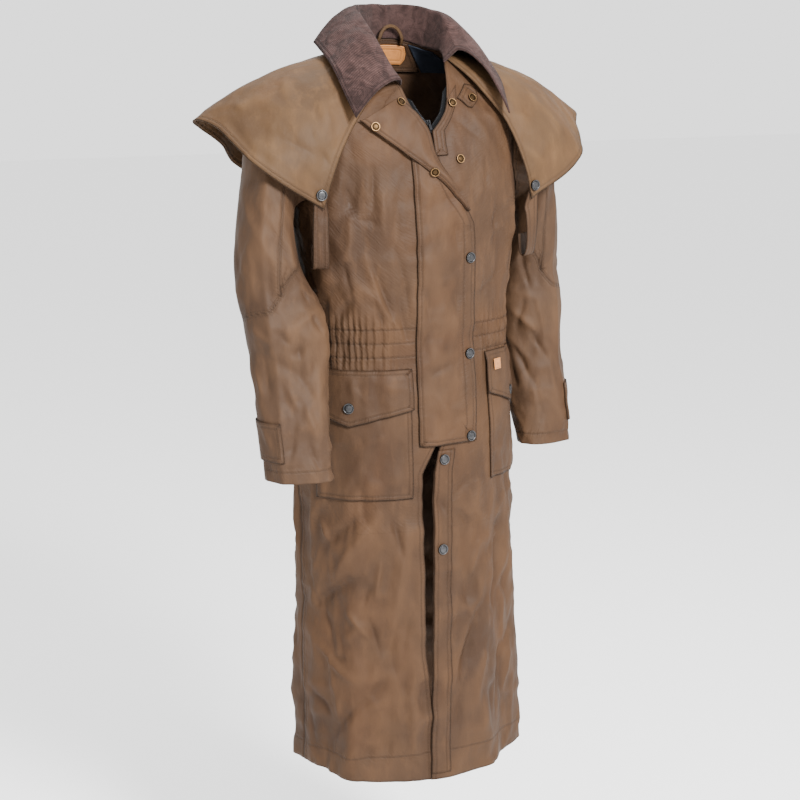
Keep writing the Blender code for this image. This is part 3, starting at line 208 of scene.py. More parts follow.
# Creases on a sleeve, the right one, the left one and then the backs of both: angle round it and section of
# each end, half width and height out in metres
SLEEVE_CREASES = {
    -1: (
        (131, 3.5, 138, 3.95, 0.0045, -0.004), (109, 5, 109, 6.4, 0.008, -0.005),
        (142, 4.4, 150, 5, 0.006, -0.005), (55, 3.25, 60, 4.3, 0.007, 0.0035), (47, 3.75, 67, 3.4, 0.005, -0.003),
        (98, 5, 158, 4.05, 0.008, 0.005), (90, 5.8, 128, 5.4, 0.007, -0.0045), (86, 6.55, 101, 7.3, 0.007, 0.0045),
        (110, 7, 129, 8.3, 0.008, 0.005), (95, 7.55, 81, 9, 0.006, -0.004), (60, 5.6, 57, 7, 0.008, -0.004),
        (51, 5.1, 75, 5.4, 0.006, 0.004), (113, 8.25, 133, 9.45, 0.006, -0.004),
        (110, 1.55, 116, 2.9, 0.007, 0.0035), (39, 6.2, 50, 6.95, 0.006, 0.0035), (80, 5, 98, 5.4, 0.005, -0.0035),
    ),
    1: (
        (135, 2.6, 119, 4.55, 0.007, -0.006), (156, 5.2, 107, 6.05, 0.009, 0.006),
        (170, 6.3, 132, 7.7, 0.009, -0.006), (132, 7.7, 132, 9.05, 0.008, -0.005),
        (139, 7.55, 123, 9.7, 0.01, 0.006), (108, 4.9, 101, 6.4, 0.006, 0.004),
        (130, 4.85, 154, 5.9, 0.006, -0.0045), (95, 6.6, 95, 8.25, 0.007, 0.004),
        (128, 5.9, 96, 6.9, 0.006, -0.004),
    ),
}
SLEEVE_BACK_CREASES = (
    (200, 3.2, 245, 4.1, 0.009, 0.005), (250, 4.3, 300, 4.8, 0.009, -0.0044), (235, 5.3, 285, 5.7, 0.009, 0.0044),
    (300, 6.2, 260, 7.4, 0.01, -0.004), (325, 2, 318, 4.2, 0.012, 0.004), (335, 5.2, 342, 7, 0.01, 0.0036),
    (215, 6.6, 230, 8.4, 0.01, 0.0038), (180, 6, 172, 8, 0.009, -0.0036), (285, 8, 276, 9.4, 0.009, 0.003),
    (268, 1.4, 282, 2.8, 0.011, 0.004),
)
# Creases on the cape: angle and share of the way from neck to hem of each end, half width and height out
CAPE_CREASES = (
    (205, 0.82, 232, 0.76, 0.007, -0.004), (215, 0.64, 222, 0.72, 0.007, -0.0045),
    (222, 0.72, 232, 0.76, 0.006, -0.0045), (188, 0.86, 192, 0.68, 0.01, 0.004),
    (202, 0.92, 217, 0.88, 0.008, 0.004), (212, 0.46, 224, 0.6, 0.01, 0.0045),
    (187, 0.48, 209, 0.62, 0.012, 0.004), (205, 0.82, 212, 0.98, 0.007, -0.0032),
    (221, 0.86, 234, 0.9, 0.007, -0.0035), (-43, 0.52, -31, 0.72, 0.008, -0.004),
    (-29, 0.54, -32, 0.8, 0.01, 0.0045), (-55, 0.66, -46, 0.88, 0.008, 0.004),
    (189, 0.92, 205, 0.96, 0.008, -0.0035),
)
# Seams sewn across a sleeve: angle and section of each point
SLEEVE_SEAMS = (((86, 0.0), (92, 1.4), (95, 2.65), (94, 3.95)),
                ((140, 1.6), (125, 2.65), (101, 3.65), (97, 3.95), (78, 4.55), (31, 4.9), (-30, 5.1), (-75, 5.1)))
# Crest down a sleeve between its front and its back: section, angle
SLEEVE_CREST = ((0.0, 52), (2.05, 62), (3.0, 74), (5.3, 76), (6.95, 75), (9.35, 68), (10.0, 66))


def smooth(rows, at):
    """Rows of a table at fractional indices, on a smooth curve through them."""
    values = np.array(rows, dtype=float)
    last = len(values) - 1
    at = np.clip(np.asarray(at, dtype=float), 0.0, last)
    index = np.minimum(at.astype(int), last - 1)
    t = (at - index)[..., None]
    full = np.vstack([2 * values[0] - values[1], values, 2 * values[-1] - values[-2]])
    p0, p1, p2, p3 = (full[index + step] for step in range(4))
    curve = 2 * p1 + (p2 - p0) * t + (2 * p0 - 5 * p1 + 4 * p2 - p3) * t ** 2
    return 0.5 * (curve + (3 * p1 - p0 - 3 * p2 + p3) * t ** 3)


def smooth_by_key(rows, key):
    keys = np.array([row[0] for row in rows], dtype=float)
    order = 1.0 if keys[-1] > keys[0] else -1.0
    return smooth([row[1:] for row in rows], np.interp(order * np.asarray(key), order * keys, np.arange(len(keys))))


def between(rows, key, column=1):
    values = np.array(sorted(rows), dtype=float)
    return np.interp(key, values[:, 0], values[:, column])


def bump(offset, half_width):
    return np.exp(-(offset / half_width) ** 2)


def wrapped(degrees):
    return (degrees + 180.0) % 360.0 - 180.0


class Creases:
    """Heights of fine creases over a cloth that is laid out flat, read back between the points of a grid."""

    def __init__(self, width, height, seed, loose, wraps=True, steep=0.6, strength=1.0):
        self.width, self.height, self.wraps = width, height, wraps
        self.random = np.random.default_rng(seed)
        columns, rows = int(width / CREASE_CELL), int(height / CREASE_CELL)
        self.s, self.t = np.meshgrid(np.arange(columns) * width / columns, np.arange(rows + 1) * height / rows)
        self.heights = np.zeros_like(self.s)
        for size, tall in ((0.085, 0.0026), (0.038, 0.0014), (0.018, 0.0004)):
            self.heights += tall * strength * self.crumple(size)
        for _ in range(loose):
            self.loose_crease(steep, strength)

    def crumple(self, size):
        """Soft cushions of cloth between sharper ridges."""
        columns, rows = max(int(self.width / size), 3), max(int(self.height / size), 3)
        grid = self.random.random((rows + 3, columns))
        u = self.s / self.width * columns
        v = self.t / self.height * rows + 1.0
        i, j = u.astype(int), v.astype(int)
        a, b = u - i, v - j
        a, b = a * a * (3 - 2 * a), b * b * (3 - 2 * b)
        j = np.minimum(j, rows + 1)
        value = (grid[j, i % columns] * (1 - a) + grid[j, (i + 1) % columns] * a) * (1 - b)
        value += (grid[j + 1, i % columns] * (1 - a) + grid[j + 1, (i + 1) % columns] * a) * b
        return 1.0 - 2.0 * np.sqrt((2 * value - 1) ** 2 + 0.01)

    def add(self, s, t, lean, half_length, half_width, tall, bow=0.0):
        """One crease: its middle, its lean from straight down in radians, and its size."""
        across, down = self.s - s, self.t - t
        if self.wraps:
            across = (across + self.width / 2) % self.width - self.width / 2
        reach = half_length + 3 * half_width
        near = (np.abs(across) < reach) & (np.abs(down) < reach)
        across, down = across[near], down[near]
        along = across * math.sin(lean) + down * math.cos(lean)
        off = across * math.cos(lean) - down * math.sin(lean) + bow * (along ** 2 - half_length ** 2 / 3)
        ends = np.clip(1 - (along / half_length) ** 2, 0, 1) ** 1.3
        self.heights[near] += tall * np.exp(-np.abs(off / half_width) ** 1.6) * ends

    def add_between(self, start, end, half_width, tall):
        s = end[0] - start[0]
        if self.wraps:
            s = (s + self.width / 2) % self.width - self.width / 2
        t = end[1] - start[1]
        half_length = 0.62 * math.hypot(s, t)
        bow = self.random.uniform(-1.6, 1.6)
        self.add(start[0] + s / 2, start[1] + t / 2, math.atan2(s, t), half_length, half_width, tall, bow)

    def loose_crease(self, steep, strength):
        pick = self.random
        lean = pick.normal(0.0, steep)
        half_width = pick.uniform(0.0048, 0.012)
        half_length = half_width * pick.uniform(3.0, 9.0)
        tall = pick.choice((-1.0, 1.0)) * half_width * pick.uniform(0.13, 0.30) * strength
        self.add(pick.uniform(0, self.width), pick.uniform(0, self.height), lean, half_length, half_width, tall,
                 pick.uniform(-6, 6))

    def at(self, s, t):
        rows, columns = self.heights.shape
        u = np.asarray(s) / self.width * columns
        v = np.clip(np.asarray(t) / self.height * (rows - 1), 0, rows - 1.001)
        if not self.wraps:
            u = np.clip(u, 0, columns - 1.001)
        i, j = np.floor(u).astype(int), v.astype(int)
        a, b = u - i, v - j
        grid = self.heights
        top = grid[j, i % columns] * (1 - a) + grid[j, (i + 1) % columns] * a
        low = grid[j + 1, i % columns] * (1 - a) + grid[j + 1, (i + 1) % columns] * a
        return top * (1 - b) + low * b


def mesh_points(mesh):
    points = np.empty(len(mesh.vertices) * 3)
    mesh.vertices.foreach_get("co", points)
    return points.reshape(-1, 3)


def snap_places():
    """Where each snap sits: the middle of its solid, its axis and its radius."""
    places = {}
    for name in NODES:
        if name.startswith(("snap_", "stud_")):
            points = mesh_points(NODES[name].data)
            middle = (points.min(0) + points.max(0)) / 2
            _, spread, axes = np.linalg.svd(points - points.mean(0), full_matrices=False)
            axis = axes[2] if spread[2] < spread[0] else axes[0]
            if np.dot(axis[:2], middle[:2]) < 0:
                axis = -axis
            radius = np.linalg.norm((points - middle) - np.outer((points - middle) @ axis, axis), axis=1).max()
            places[name] = (middle, axis, radius)
    return places


SNAPS = snap_places()


def broad_relief(angle, height):
    """How far the large folds stand out, as on the solid."""
    out = np.zeros_like(height)
    for middle, z, drift, half_width, half_length, stand in BODY_FOLDS:
        along = height - z
        out += stand * bump(wrapped(angle - middle - drift * along), half_width) * bump(along, half_length)
    share = np.clip((SKIRT_FOLD_START - height) / (SKIRT_FOLD_START - HEM_Z), 0, None)
    for middle, drift, half_width, stand in SKIRT_FOLDS:
        out += stand * share * bump(wrapped(angle - middle - drift * (height - HEM_Z)), half_width)
    return out


def body_ring(row, angle):
    """A point on the outer face of the body with its large folds, by row and by angle, 270 being the front."""
    z_side, z_front, z_back, half_width, front, back = np.moveaxis(smooth(BODY_SECTIONS, row), -1, 0)
    c, s = np.cos(np.radians(angle)), np.sin(np.radians(angle))
    z = z_side * c * c + np.where(s > 0, z_back, z_front) * s * s
    out = broad_relief(angle, z)
    sway = HEM_SWAY * np.clip((z - SWAY_START) / (HEM_Z - SWAY_START), 0, 1)
    x = half_width * np.copysign(np.abs(c) ** SQUARENESS, c) + out * c + sway
    y = np.where(s > 0, back, front) * np.copysign(np.abs(s) ** SQUARENESS, s) + out * s
    return np.stack([x, y, z], axis=-1)


def unit(vectors):
    return vectors / np.linalg.norm(vectors, axis=-1, keepdims=True)


def body_normal(row, angle):
    across = body_ring(row, angle + 0.6) - body_ring(row, angle - 0.6)
    down = body_ring(row + 0.06, angle) - body_ring(np.maximum(row - 0.06, 0.0), angle)
    return unit(np.cross(down, across))


def armhole_loop(side, count=240):
    """Points round an armhole: down the front from the shoulder, then up the back."""
    k = np.arange(count) * 2 * (len(ARMHOLE) - 1) / count
    front = k <= len(ARMHOLE) - 1
    at = np.where(front, k, 2 * (len(ARMHOLE) - 1) - k)
    rows = np.interp(at, np.arange(len(ARMHOLE)), [row for row, _ in ARMHOLE])
    half = np.interp(at, np.arange(len(ARMHOLE)), [half for _, half in ARMHOLE])
    base = 0.0 if side > 0 else 180.0
    points = body_ring(rows, base - side * np.where(front, half, -half))
    away = unit(points - points.mean(0))
    return points + np.array((side * 0.0008, 0.0, -0.0001)) + away * 0.0002


def with_creases(made, table, radius, down):
    """Adds the creases of a table: angle and place down the cloth of each end, half width and height out."""
    for angle_a, at_a, angle_b, at_b, half_width, tall in table:
        ends = [(math.radians(angle) * radius, down(at)) for angle, at in ((angle_a, at_a), (angle_b, at_b))]
        made.add_between(*ends, half_width, tall)
    return made


ON_BODY = with_creases(Creases(2 * math.pi * BODY_RADIUS, 1.32, 11, 620), BODY_CREASES, BODY_RADIUS,
                       lambda z: BODY_CREASE_TOP - z)
ON_SLEEVE = {side: with_creases(Creases(2 * math.pi * SLEEVE_RADIUS, 0.62, seed, 150, steep=0.9),
                                SLEEVE_CREASES[side] + SLEEVE_BACK_CREASES, SLEEVE_RADIUS,
                                lambda section: SLEEVE_CREASE_TOP + section * SECTION_LENGTH)
             for side, seed in ((-1, 23), (1, 29))}
ON_CAPE = with_creases(Creases(2 * math.pi * CAPE_RADIUS, 0.34, 37, 150, steep=0.7, strength=0.8), CAPE_CREASES,
                       CAPE_RADIUS, lambda share: share * CAPE_DEPTH)
ON_COLLAR = Creases(0.7, 0.2, 41, 40, strength=0.5, wraps=False)
CALM_SPOTS = [(middle, 0.016) for middle, _, _ in SNAPS.values()]
CALM_SPOTS += [(point, 0.018) for side in (-1, 1) for point in armhole_loop(side, 40)]


def calm(points):
    """0 at snaps and armhole seams, where cloth is held flat, and 1 away from them."""
    factor = np.ones(points.shape[:-1])
    for spot, radius in CALM_SPOTS:
        factor *= 1 - np.exp(-np.sum((points - spot) ** 2, axis=-1) / radius ** 2)
    return factor


def body(row, angle, lift=0.0, fine=1.0, gather=0.0):
    """Points on the body with their creases, moved out by lift, and the creases' heights, which set the painted
    highlight and painted shade on the cloth.
    """
    row, angle = np.broadcast_arrays(np.asarray(row, dtype=float), np.asarray(angle, dtype=float))
    base = body_ring(row, angle)
    crease = ON_BODY.at(np.radians(angle) * BODY_RADIUS, BODY_CREASE_TOP - base[..., 2]) * calm(base) * fine
    crease = crease * np.clip(row / 1.5, 0.15, 1.0) * np.interp(base[..., 2], *SKIRT_CREASE_GAIN)
    return base + body_normal(row, angle) * (crease + lift + gather)[..., None], crease + gather


def row_at(angle, height):
    """The row of the body at a height, found by halving."""
    angle, height = np.broadcast_arrays(np.asarray(angle, dtype=float), np.asarray(height, dtype=float))
    low, high = np.zeros(angle.shape), np.full(angle.shape, len(BODY_SECTIONS) - 1.0)
    for _ in range(26):
        middle = 0.5 * (low + high)
        above = body_ring(middle, angle)[..., 2] > height
        low, high = np.where(above, middle, low), np.where(above, high, middle)
    return 0.5 * (low + high)


def angle_at_x(row, x):
    """The angle of a place on the front of the body, by how far across it lies."""
    half_width = smooth(BODY_SECTIONS, row)[..., 3]
    share = np.minimum(np.abs(x) / half_width, 1.0) ** (1.0 / SQUARENESS)
    return 270.0 + np.copysign(np.degrees(np.arcsin(share)), x)


def on_front(x, height, lift, fine):
    """Points on the front of the body by place across and height."""
    x, height = np.broadcast_arrays(np.asarray(x, dtype=float), np.asarray(height, dtype=float))
    angle = np.full(x.shape, 270.0)
    for _ in range(8):
        row = row_at(angle, height)
        angle = angle_at_x(row, x)
    return body(row, angle, lift, fine)


def sleeve(side, section, around, lift=0.0, fine=1.0):
    """Points on a sleeve below its armhole, by section and angle round it, and the creases' heights."""
    section, around = np.broadcast_arrays(np.asarray(section, dtype=float), np.asarray(around, dtype=float))
    values = smooth(SLEEVE_RIGHT if side < 0 else SLEEVE_LEFT, section)
    out, y, z, half_out, half_front, turn, tilt = np.moveaxis(values, -1, 0)
    turn, tilt, angle = np.radians(turn), np.radians(tilt), np.radians(around)
    outward = np.stack([side * np.cos(tilt) * np.cos(turn), np.cos(tilt) * np.sin(turn), np.sin(tilt)], axis=-1)
    forward = np.stack([side * np.sin(turn), -np.cos(turn), np.zeros_like(turn)], axis=-1)
    relief = np.zeros_like(section)
    for at, middle, half_width, half_length, stand in SLEEVE_FOLDS:
        relief += stand * bump(wrapped(around - middle), half_width) * bump(section - at, half_length)
    off = wrapped(around - between(SLEEVE_CREST, section)) * math.radians(SLEEVE_RADIUS)
    relief += 0.0075 * np.exp(-np.abs(off) / 0.018) * np.clip(section, 0, 1)
    crease = ON_SLEEVE[side].at(angle * SLEEVE_RADIUS, SLEEVE_CREASE_TOP + section * SECTION_LENGTH)
    crease = crease * fine * np.clip((section + 0.3) / 1.5, 0.1, 1.0)
    relief = relief + crease + lift
    centre = np.stack([side * out, y, z], axis=-1)
    ring = outward * ((half_out + relief) * np.cos(angle))[..., None]
    return centre + ring + forward * ((half_front + relief) * np.sin(angle))[..., None], crease


def spoke(angle, out, up):
    """A vector away from the middle of the coat at an angle, and up."""
    turn = np.radians(angle)
    return np.stack([np.cos(turn) * out, np.sin(turn) * out, np.full_like(angle, up)], axis=-1)


def neck(angle, out, up):
    return body_ring(np.zeros_like(angle), angle) + spoke(angle, out, up)


def mirrored(rows):
    """Rows of the wearer's right and the back, and then the same for the wearer's left."""
    left = []
    for row in rows[-2::-1]:
        flipped = [-value if column % 3 == 0 else value for column, value in enumerate(row[1:])]
        left.append((180.0 - row[0], *flipped))
    return list(rows) + left


def cape(angle, share, fine=1.0):
    """Points on the cape by angle and share of the way from neck to hem, and the creases' heights."""
    angle, share = np.broadcast_arrays(np.asarray(angle, dtype=float), np.asarray(share, dtype=float))
    values = smooth_by_key(mirrored(CAPE_SECTIONS), angle)
    hem, drawn = values[..., :3], values[..., 3:]
    start = neck(between(CAPE_NECK, angle), 0.0012, 0.0010)
    t = share[..., None]
    point = start * (1 - t) ** 2 + 2 * drawn * t * (1 - t) + hem * t ** 2
    wave = CAPE_WAVE * np.cos(np.radians(np.abs(90.0 - angle) * 9.0)) * share ** 2
    crease = ON_CAPE.at(np.radians(angle) * CAPE_RADIUS, share * CAPE_DEPTH) * fine * np.clip(share * 3, 0.05, 1)
    crease = crease * calm(point)
    return point + spoke(angle, 1.0, 0.15) * (wave + crease)[..., None], crease


def collar(angle, share):
    """Points on the collar: share 0 to 1 up its stand, 1 to 2 down its fall."""
    angle, share = np.broadcast_arrays(np.asarray(angle, dtype=float), np.asarray(share, dtype=float))
    values = smooth_by_key(COLLAR_SECTIONS, angle)
    roll, edge = values[..., :3], values[..., 3:]
    foot = neck(angle, -0.0010, 0.0008)
    up, down = np.clip(share, 0, 1)[..., None], np.clip(share - 1.0, 0, 1)[..., None]
    flat = (edge - roll) * np.array((0.42, 0.42, 0.0)) + np.array((0.0, 0.0, 0.004))
    fall = roll * (1 - down) ** 2 + 2 * (roll + flat) * down * (1 - down) + edge * down ** 2
    point = np.where(share[..., None] <= 1.0, foot * (1 - up) + roll * up, fall)
    crease = ON_COLLAR.at(0.05 + (angle + COLLAR_END) / COLLAR_TURN * 0.6, share * 0.09) * np.clip(share, 0.1, 1)
    return point + spoke(angle, 1.0, 0.9) * crease[..., None], crease


class Shade:
    """A socket of a material's nodes, so that its maths reads as an expression."""

    def __init__(self, tree, socket):
        self.tree, self.socket = tree, socket

    def node(self, kind, settings=None, output=0, **values):
        """Any node: its settings first, then values or links for its sockets, by name or as n0, n1 for an index."""
        made = self.tree.nodes.new(kind)
        for name, value in (settings or {}).items():
            setattr(made, name, value)
        for name, value in values.items():
            index = int(name[1:]) if name[0] == "n" and name[1:].isdigit() else name.replace("_", " ")
            socket = made.inputs[index]
            if isinstance(value, Shade):
                self.tree.links.new(value.socket, socket)
            else:
                socket.default_value = value
        return Shade(self.tree, made.outputs[output])

    def maths(self, operation, *values):
        numbered = {f"n{index}": value for index, value in enumerate(values)}
        return self.node("ShaderNodeMath", {"operation": operation}, **numbered)

    def __add__(self, other): return self.maths("ADD", self, other)
    def __radd__(self, other): return self.maths("ADD", other, self)
    def __sub__(self, other): return self.maths("SUBTRACT", self, other)
    def __rsub__(self, other): return self.maths("SUBTRACT", other, self)
    def __mul__(self, other): return self.maths("MULTIPLY", self, other)
    def __rmul__(self, other): return self.maths("MULTIPLY", other, self)
    def __truediv__(self, other): return self.maths("DIVIDE", self, other)
    def __abs__(self): return self.maths("ABSOLUTE", self)

    def clamped(self):
        made = self.maths("ADD", self, 0.0)
        made.socket.node.use_clamp = True
        return made

    def step(self, low, high):
        """0 below low, 1 above high, in a straight line between."""
        return ((self - low) / (high - low)).clamped()

    def mix(self, first, second):
        """Between two colours by this factor."""
        colours = [value if isinstance(value, Shade) else (*value, 1.0) for value in (first, second)]
        return self.node("ShaderNodeMix", {"data_type": "RGBA"}, 2, n0=self, n6=colours[0], n7=colours[1])

    def attribute(self, name):
        return self.node("ShaderNodeAttribute", {"attribute_name": name}, 2)

    def place(self):
        return self.node("ShaderNodeTexCoord", output=3)

    def noise(self, scale, vector, detail=2.0, roughness=0.5, distortion=0.0):
        return self.node("ShaderNodeTexNoise", Vector=vector, Scale=scale, Detail=detail, Roughness=roughness,
                         Distortion=distortion)

    def stretched(self, vector, scale):
        return self.node("ShaderNodeMapping", Vector=vector, Scale=scale)


def shaded(colour, *shares):
    """A colour times one share, or times a share for each channel."""
    return tuple(value * share for value, share in zip(colour, shares if len(shares) == 3 else shares * 3))


def new_material(name, roughness, metallic=0.0, **settings):
    made = bpy.data.materials.new(name)
    made.use_nodes = True
    shader = made.node_tree.nodes["Principled BSDF"]
    shader.inputs["Roughness"].default_value = roughness
    shader.inputs["Metallic"].default_value = metallic
    for key, value in settings.items():
        shader.inputs[key.replace("_", " ")].default_value = value
    return made, shader, Shade(made.node_tree, None)


def feed(material, shader, **values):
    for name, value in values.items():
        material.node_tree.links.new(value.socket, shader.inputs[name.replace("_", " ")])


def raised(shade, height, distance, strength=1.0):
    return shade.node("ShaderNodeBump", {}, Strength=strength, Distance=distance, Height=height)


def sewing(shade):
    """Masks of the thread, its dent, the joins and the cloth beside them, and how far along its seam a place is."""
    edge, hem, seam, along = (shade.attribute(name) for name in ("edge", "hem", "seam", "along"))
    nearest = abs(edge - STITCH)
    for line in (abs(edge - SECOND_STITCH), abs(hem), abs(seam - SEAM_STITCH)):
        nearest = shade.maths("MINIMUM", nearest, line)
    dash = shade.maths("LESS_THAN", shade.maths("FRACT", along / STITCH_LENGTH), 0.74)
    thread = (1 - nearest.step(0.0003, 0.0008)) * dash
    dent = 1 - nearest.step(0.0004, 0.0032)
    join = 1 - shade.maths("MINIMUM", abs(edge), seam * 0.7).step(0.0002, 0.0013)
    near = 1 - shade.maths("MINIMUM", shade.maths("MINIMUM", abs(edge), abs(hem)), seam).step(0.002, 0.016)
    return thread, dent, join, near, along


def waxed_cotton(name, colour, shadow, light, roughness=0.60):
    """Waxed cotton: mottled wax, a painted highlight on crease ridges and painted shade in crease troughs, a fine
    weave, puckered and topstitched seams with painted shade in their dents and joins.
    """
    made, shader, shade = new_material(name, roughness, Specular_IOR_Level=0.12)
    place = shade.place()
    thread, dent, join, near, along = sewing(shade)
    ridge = shade.attribute("ridge")
    cloudy = shade.noise(7.0, place, 3.0, 0.55, 0.4)
    streaks = shade.noise(26.0, shade.stretched(place, (1.6, 1.6, 0.5)), 4.0, 0.62)
    specks = shade.noise(190.0, place, 3.0, 0.6)
    drift = shade.noise(4.3, shade.stretched(place, (1.0, 1.0, 0.7)), 3.0, 0.55, 0.8)
    base = cloudy.step(0.34, 0.66).mix(shadow, colour)
    base = (drift.step(0.47, 0.66) * 0.55).mix(base, shaded(colour, 1.18, 1.03, 0.88))
    base = ((0.50 - drift).step(0.0, 0.14) * 0.55).mix(base, shaded(colour, 0.80, 0.82, 0.92))
    base = (streaks.step(0.52, 0.74) * 0.62).mix(base, light)
    base = ((0.46 - streaks).step(0.0, 0.16) * 0.45).mix(base, shadow)
    # painted highlight on crease ridges and painted shade in crease troughs, set by the crease heights
    base = (ridge.step(0.25, 1.1) * 0.42).mix(base, light)
    base = ((0 - ridge).step(0.2, 1.2) * 0.45).mix(base, shadow)
    base = (specks.step(0.62, 0.78) * 0.22).mix(base, light)
    # painted shade in the stitch dents and along the seam joins
    base = (dent * 0.24 + join * 0.55).clamped().mix(base, shaded(shadow, 0.45))
    base = (thread * 0.85).mix(base, shaded(colour, 0.80))
    feed(made, shader, Base_Color=base)
    feed(made, shader, Roughness=roughness - 0.10 + cloudy * 0.12 + streaks * 0.12 + ridge * 0.03)
    fine = shade.noise(420.0, place, 2.0, 0.6)
    bent = shade.node("ShaderNodeVectorMath", {"operation": "MULTIPLY_ADD"}, n1=(0.06, 0.06, 0.06),
                      n0=shade.node("ShaderNodeTexNoise", {}, 1, Vector=place, Scale=9.0, Detail=3.0),
                      n2=shade.stretched(place, (1.0, 1.0, 0.62)))
    folds = shade.node("ShaderNodeTexVoronoi", {"feature": "SMOOTH_F1"}, 0, Vector=bent, Scale=24.0, Smoothness=0.25)
    small = shade.noise(62.0, shade.stretched(place, (1.0, 1.0, 0.6)), 3.0, 0.55)
    pucker = shade.noise(1.0, shade.node("ShaderNodeCombineXYZ", X=along * 210.0, Y=shade.attribute("edge") * 60.0))
    height = folds * 1.5 + small * 0.5 + fine * 0.03 + near * pucker * 0.7 - dent * 0.25 - join * 0.4 + thread * 0.2
    feed(made, shader, Normal=raised(shade, height, 0.0022))
    return made


def make_corduroy(colour, wear_and_sheen):
    """Fine corduroy: cords run up the stand and down the fall, painted shade in the grooves between them; its nap
    paler in patches, partly rubbed wear and partly a painted velvet sheen; a painted highlight on crease ridges and
    painted shade in the stitch dents.
    """
    made, shader, shade = new_material("corduroy_looks", 0.94, Specular_IOR_Level=0.08, Sheen_Weight=0.03,
                                       Sheen_Roughness=0.4)
    place = shade.place()
    _, dent, _, near, _ = sewing(shade)
    nap = shade.noise(58.0, place, 5.0, 0.72, 0.8)
    clouds = shade.noise(11.0, place, 2.0)
    cords = shade.attribute("cords").maths("SINE", shade.attribute("cords") * (2 * math.pi / CORD_PITCH)) * 0.5 + 0.5
    ridge = shade.attribute("ridge")
    # nap paler in patches: partly rubbed wear, partly a painted velvet sheen
    base = (nap * 1.1 + clouds * 0.4).step(0.56, 0.92).mix(shaded(colour, 0.55), wear_and_sheen)
    # painted shade in the grooves between the cords
    base = ((1 - cords) * 0.45).mix(base, shaded(colour, 0.4))
    # painted highlight on crease ridges
    base = (ridge.step(0.2, 1.0) * 0.4).mix(base, wear_and_sheen)
    # painted shade in the stitch dents
    base = (dent * 0.55).mix(base, shaded(colour, 0.35))
    feed(made, shader, Base_Color=base)
    feed(made, shader, Normal=raised(shade, cords * 0.6 + nap * 2.2 - dent * 0.7 + near * clouds * 0.6, 0.0014))
    return made


def make_leather(colour, dark):
    """Smooth tan leather with a faint grain, darker near its sewn rim, with painted shade in its stitch dents."""
    made, shader, shade = new_material("leather_looks", 0.5, Specular_IOR_Level=0.45)
    place = shade.place()
    thread, dent, _, near, _ = sewing(shade)
    clouds = shade.noise(70.0, place, 3.0, 0.6)
    grain = shade.node("ShaderNodeTexVoronoi", {}, 0, Vector=place, Scale=900.0)
    base = clouds.step(0.35, 0.7).mix(colour, dark)
    # darker near the rim, and painted shade in the stitch dents
    base = (near * 0.35 + dent * 0.3).clamped().mix(base, dark)
    base = (thread * 0.8).mix(base, shaded(dark, 0.5))
    feed(made, shader, Base_Color=base)
    feed(made, shader, Roughness=0.42 + clouds * 0.2)
    feed(made, shader, Normal=raised(shade, grain * 0.25 - dent * 0.5 + clouds * 0.5, 0.0006))
    return made


def make_metal(name, colour, pale, roughness):
    """Antique plated metal, dark with patina in its hollows and rubbed bright on its rims; its sides below the top
    are darkened too, as painted shade.
    """
    made, shader, shade = new_material(name, roughness, 1.0)
    place = shade.place()
    patina = shade.noise(300.0, place, 4.0, 0.65)
    base = patina.step(0.3, 0.7).mix(colour, pale)
    # dark where the cap's mask is low: patina in its hollows, and painted shade down its sides
    base = shade.attribute("rim").step(0.1, 0.9).mix(shaded(colour, 0.14), base)
    feed(made, shader, Base_Color=base)
    feed(made, shader, Roughness=roughness + 0.22 * patina - 0.08)
    feed(made, shader, Normal=raised(shade, patina, 0.0001, 0.6))
    return made


def make_dull(name, colour, roughness, scale, metallic=0.0):
    """A dark woven or painted finish with a fine grain."""
    made, shader, shade = new_material(name, roughness, metallic, Specular_IOR_Level=0.06)
    grain = shade.noise(scale, shade.place(), 3.0, 0.6)
    base = grain.step(0.3, 0.7).mix(colour, tuple(value * 1.9 + 0.0008 for value in colour))
    feed(made, shader, Base_Color=base)
    feed(made, shader, Roughness=roughness - 0.08 + grain * 0.16)
    feed(made, shader, Normal=raised(shade, grain, 0.0003))
    return made


def cloth_looks(colours):
    """Every finish of the coat, by a short name."""
    made = {}
    for key, colour in (("body", colours.body), ("sleeve", colours.sleeve), ("cape", colours.cape)):
        made[key] = waxed_cotton(f"waxed_cotton_{key}_looks", tuple(colour), shaded(colour, 0.62, 0.60, 0.62),
                                 shaded(colour, 1.38, 1.36, 1.34))
    made["corduroy"] = make_corduroy(tuple(colours.collar), shaded(colours.collar, 1.9))
    made["leather"] = make_leather(tuple(colours.leather), shaded(colours.leather, 0.7))
    made["silver"] = make_metal("snap_silver_looks", tuple(colours.silver), shaded(colours.silver, 1.7), 0.34)
    made["brass"] = make_metal("snap_brass_looks", tuple(colours.brass), shaded(colours.brass, 1.6), 0.42)
    made["tape"] = make_dull("zip_tape_looks", (0.0016, 0.0017, 0.0019), 0.85, 900.0)
    made["lining"] = make_dull("lining_looks", (0.009, 0.011, 0.016), 0.60, 60.0)
    made["zip"] = make_dull("zip_metal_looks", (0.012, 0.012, 0.013), 0.38, 400.0, 0.6)
    return made


LOOKS = {}


def looks(context, key):
    if not LOOKS:
        LOOKS.update(cloth_looks(context.scene.duster_colours))
    return LOOKS[key]


def lengths(points):
    """Distance across each row from its left end, and down each column from its top end."""
    across = np.zeros(points.shape[:2])
    across[:, 1:] = np.cumsum(np.linalg.norm(np.diff(points, axis=1), axis=-1), axis=1)
    down = np.zeros(points.shape[:2])
    down[1:] = np.cumsum(np.linalg.norm(np.diff(points, axis=0), axis=-1), axis=0)
    return across, down


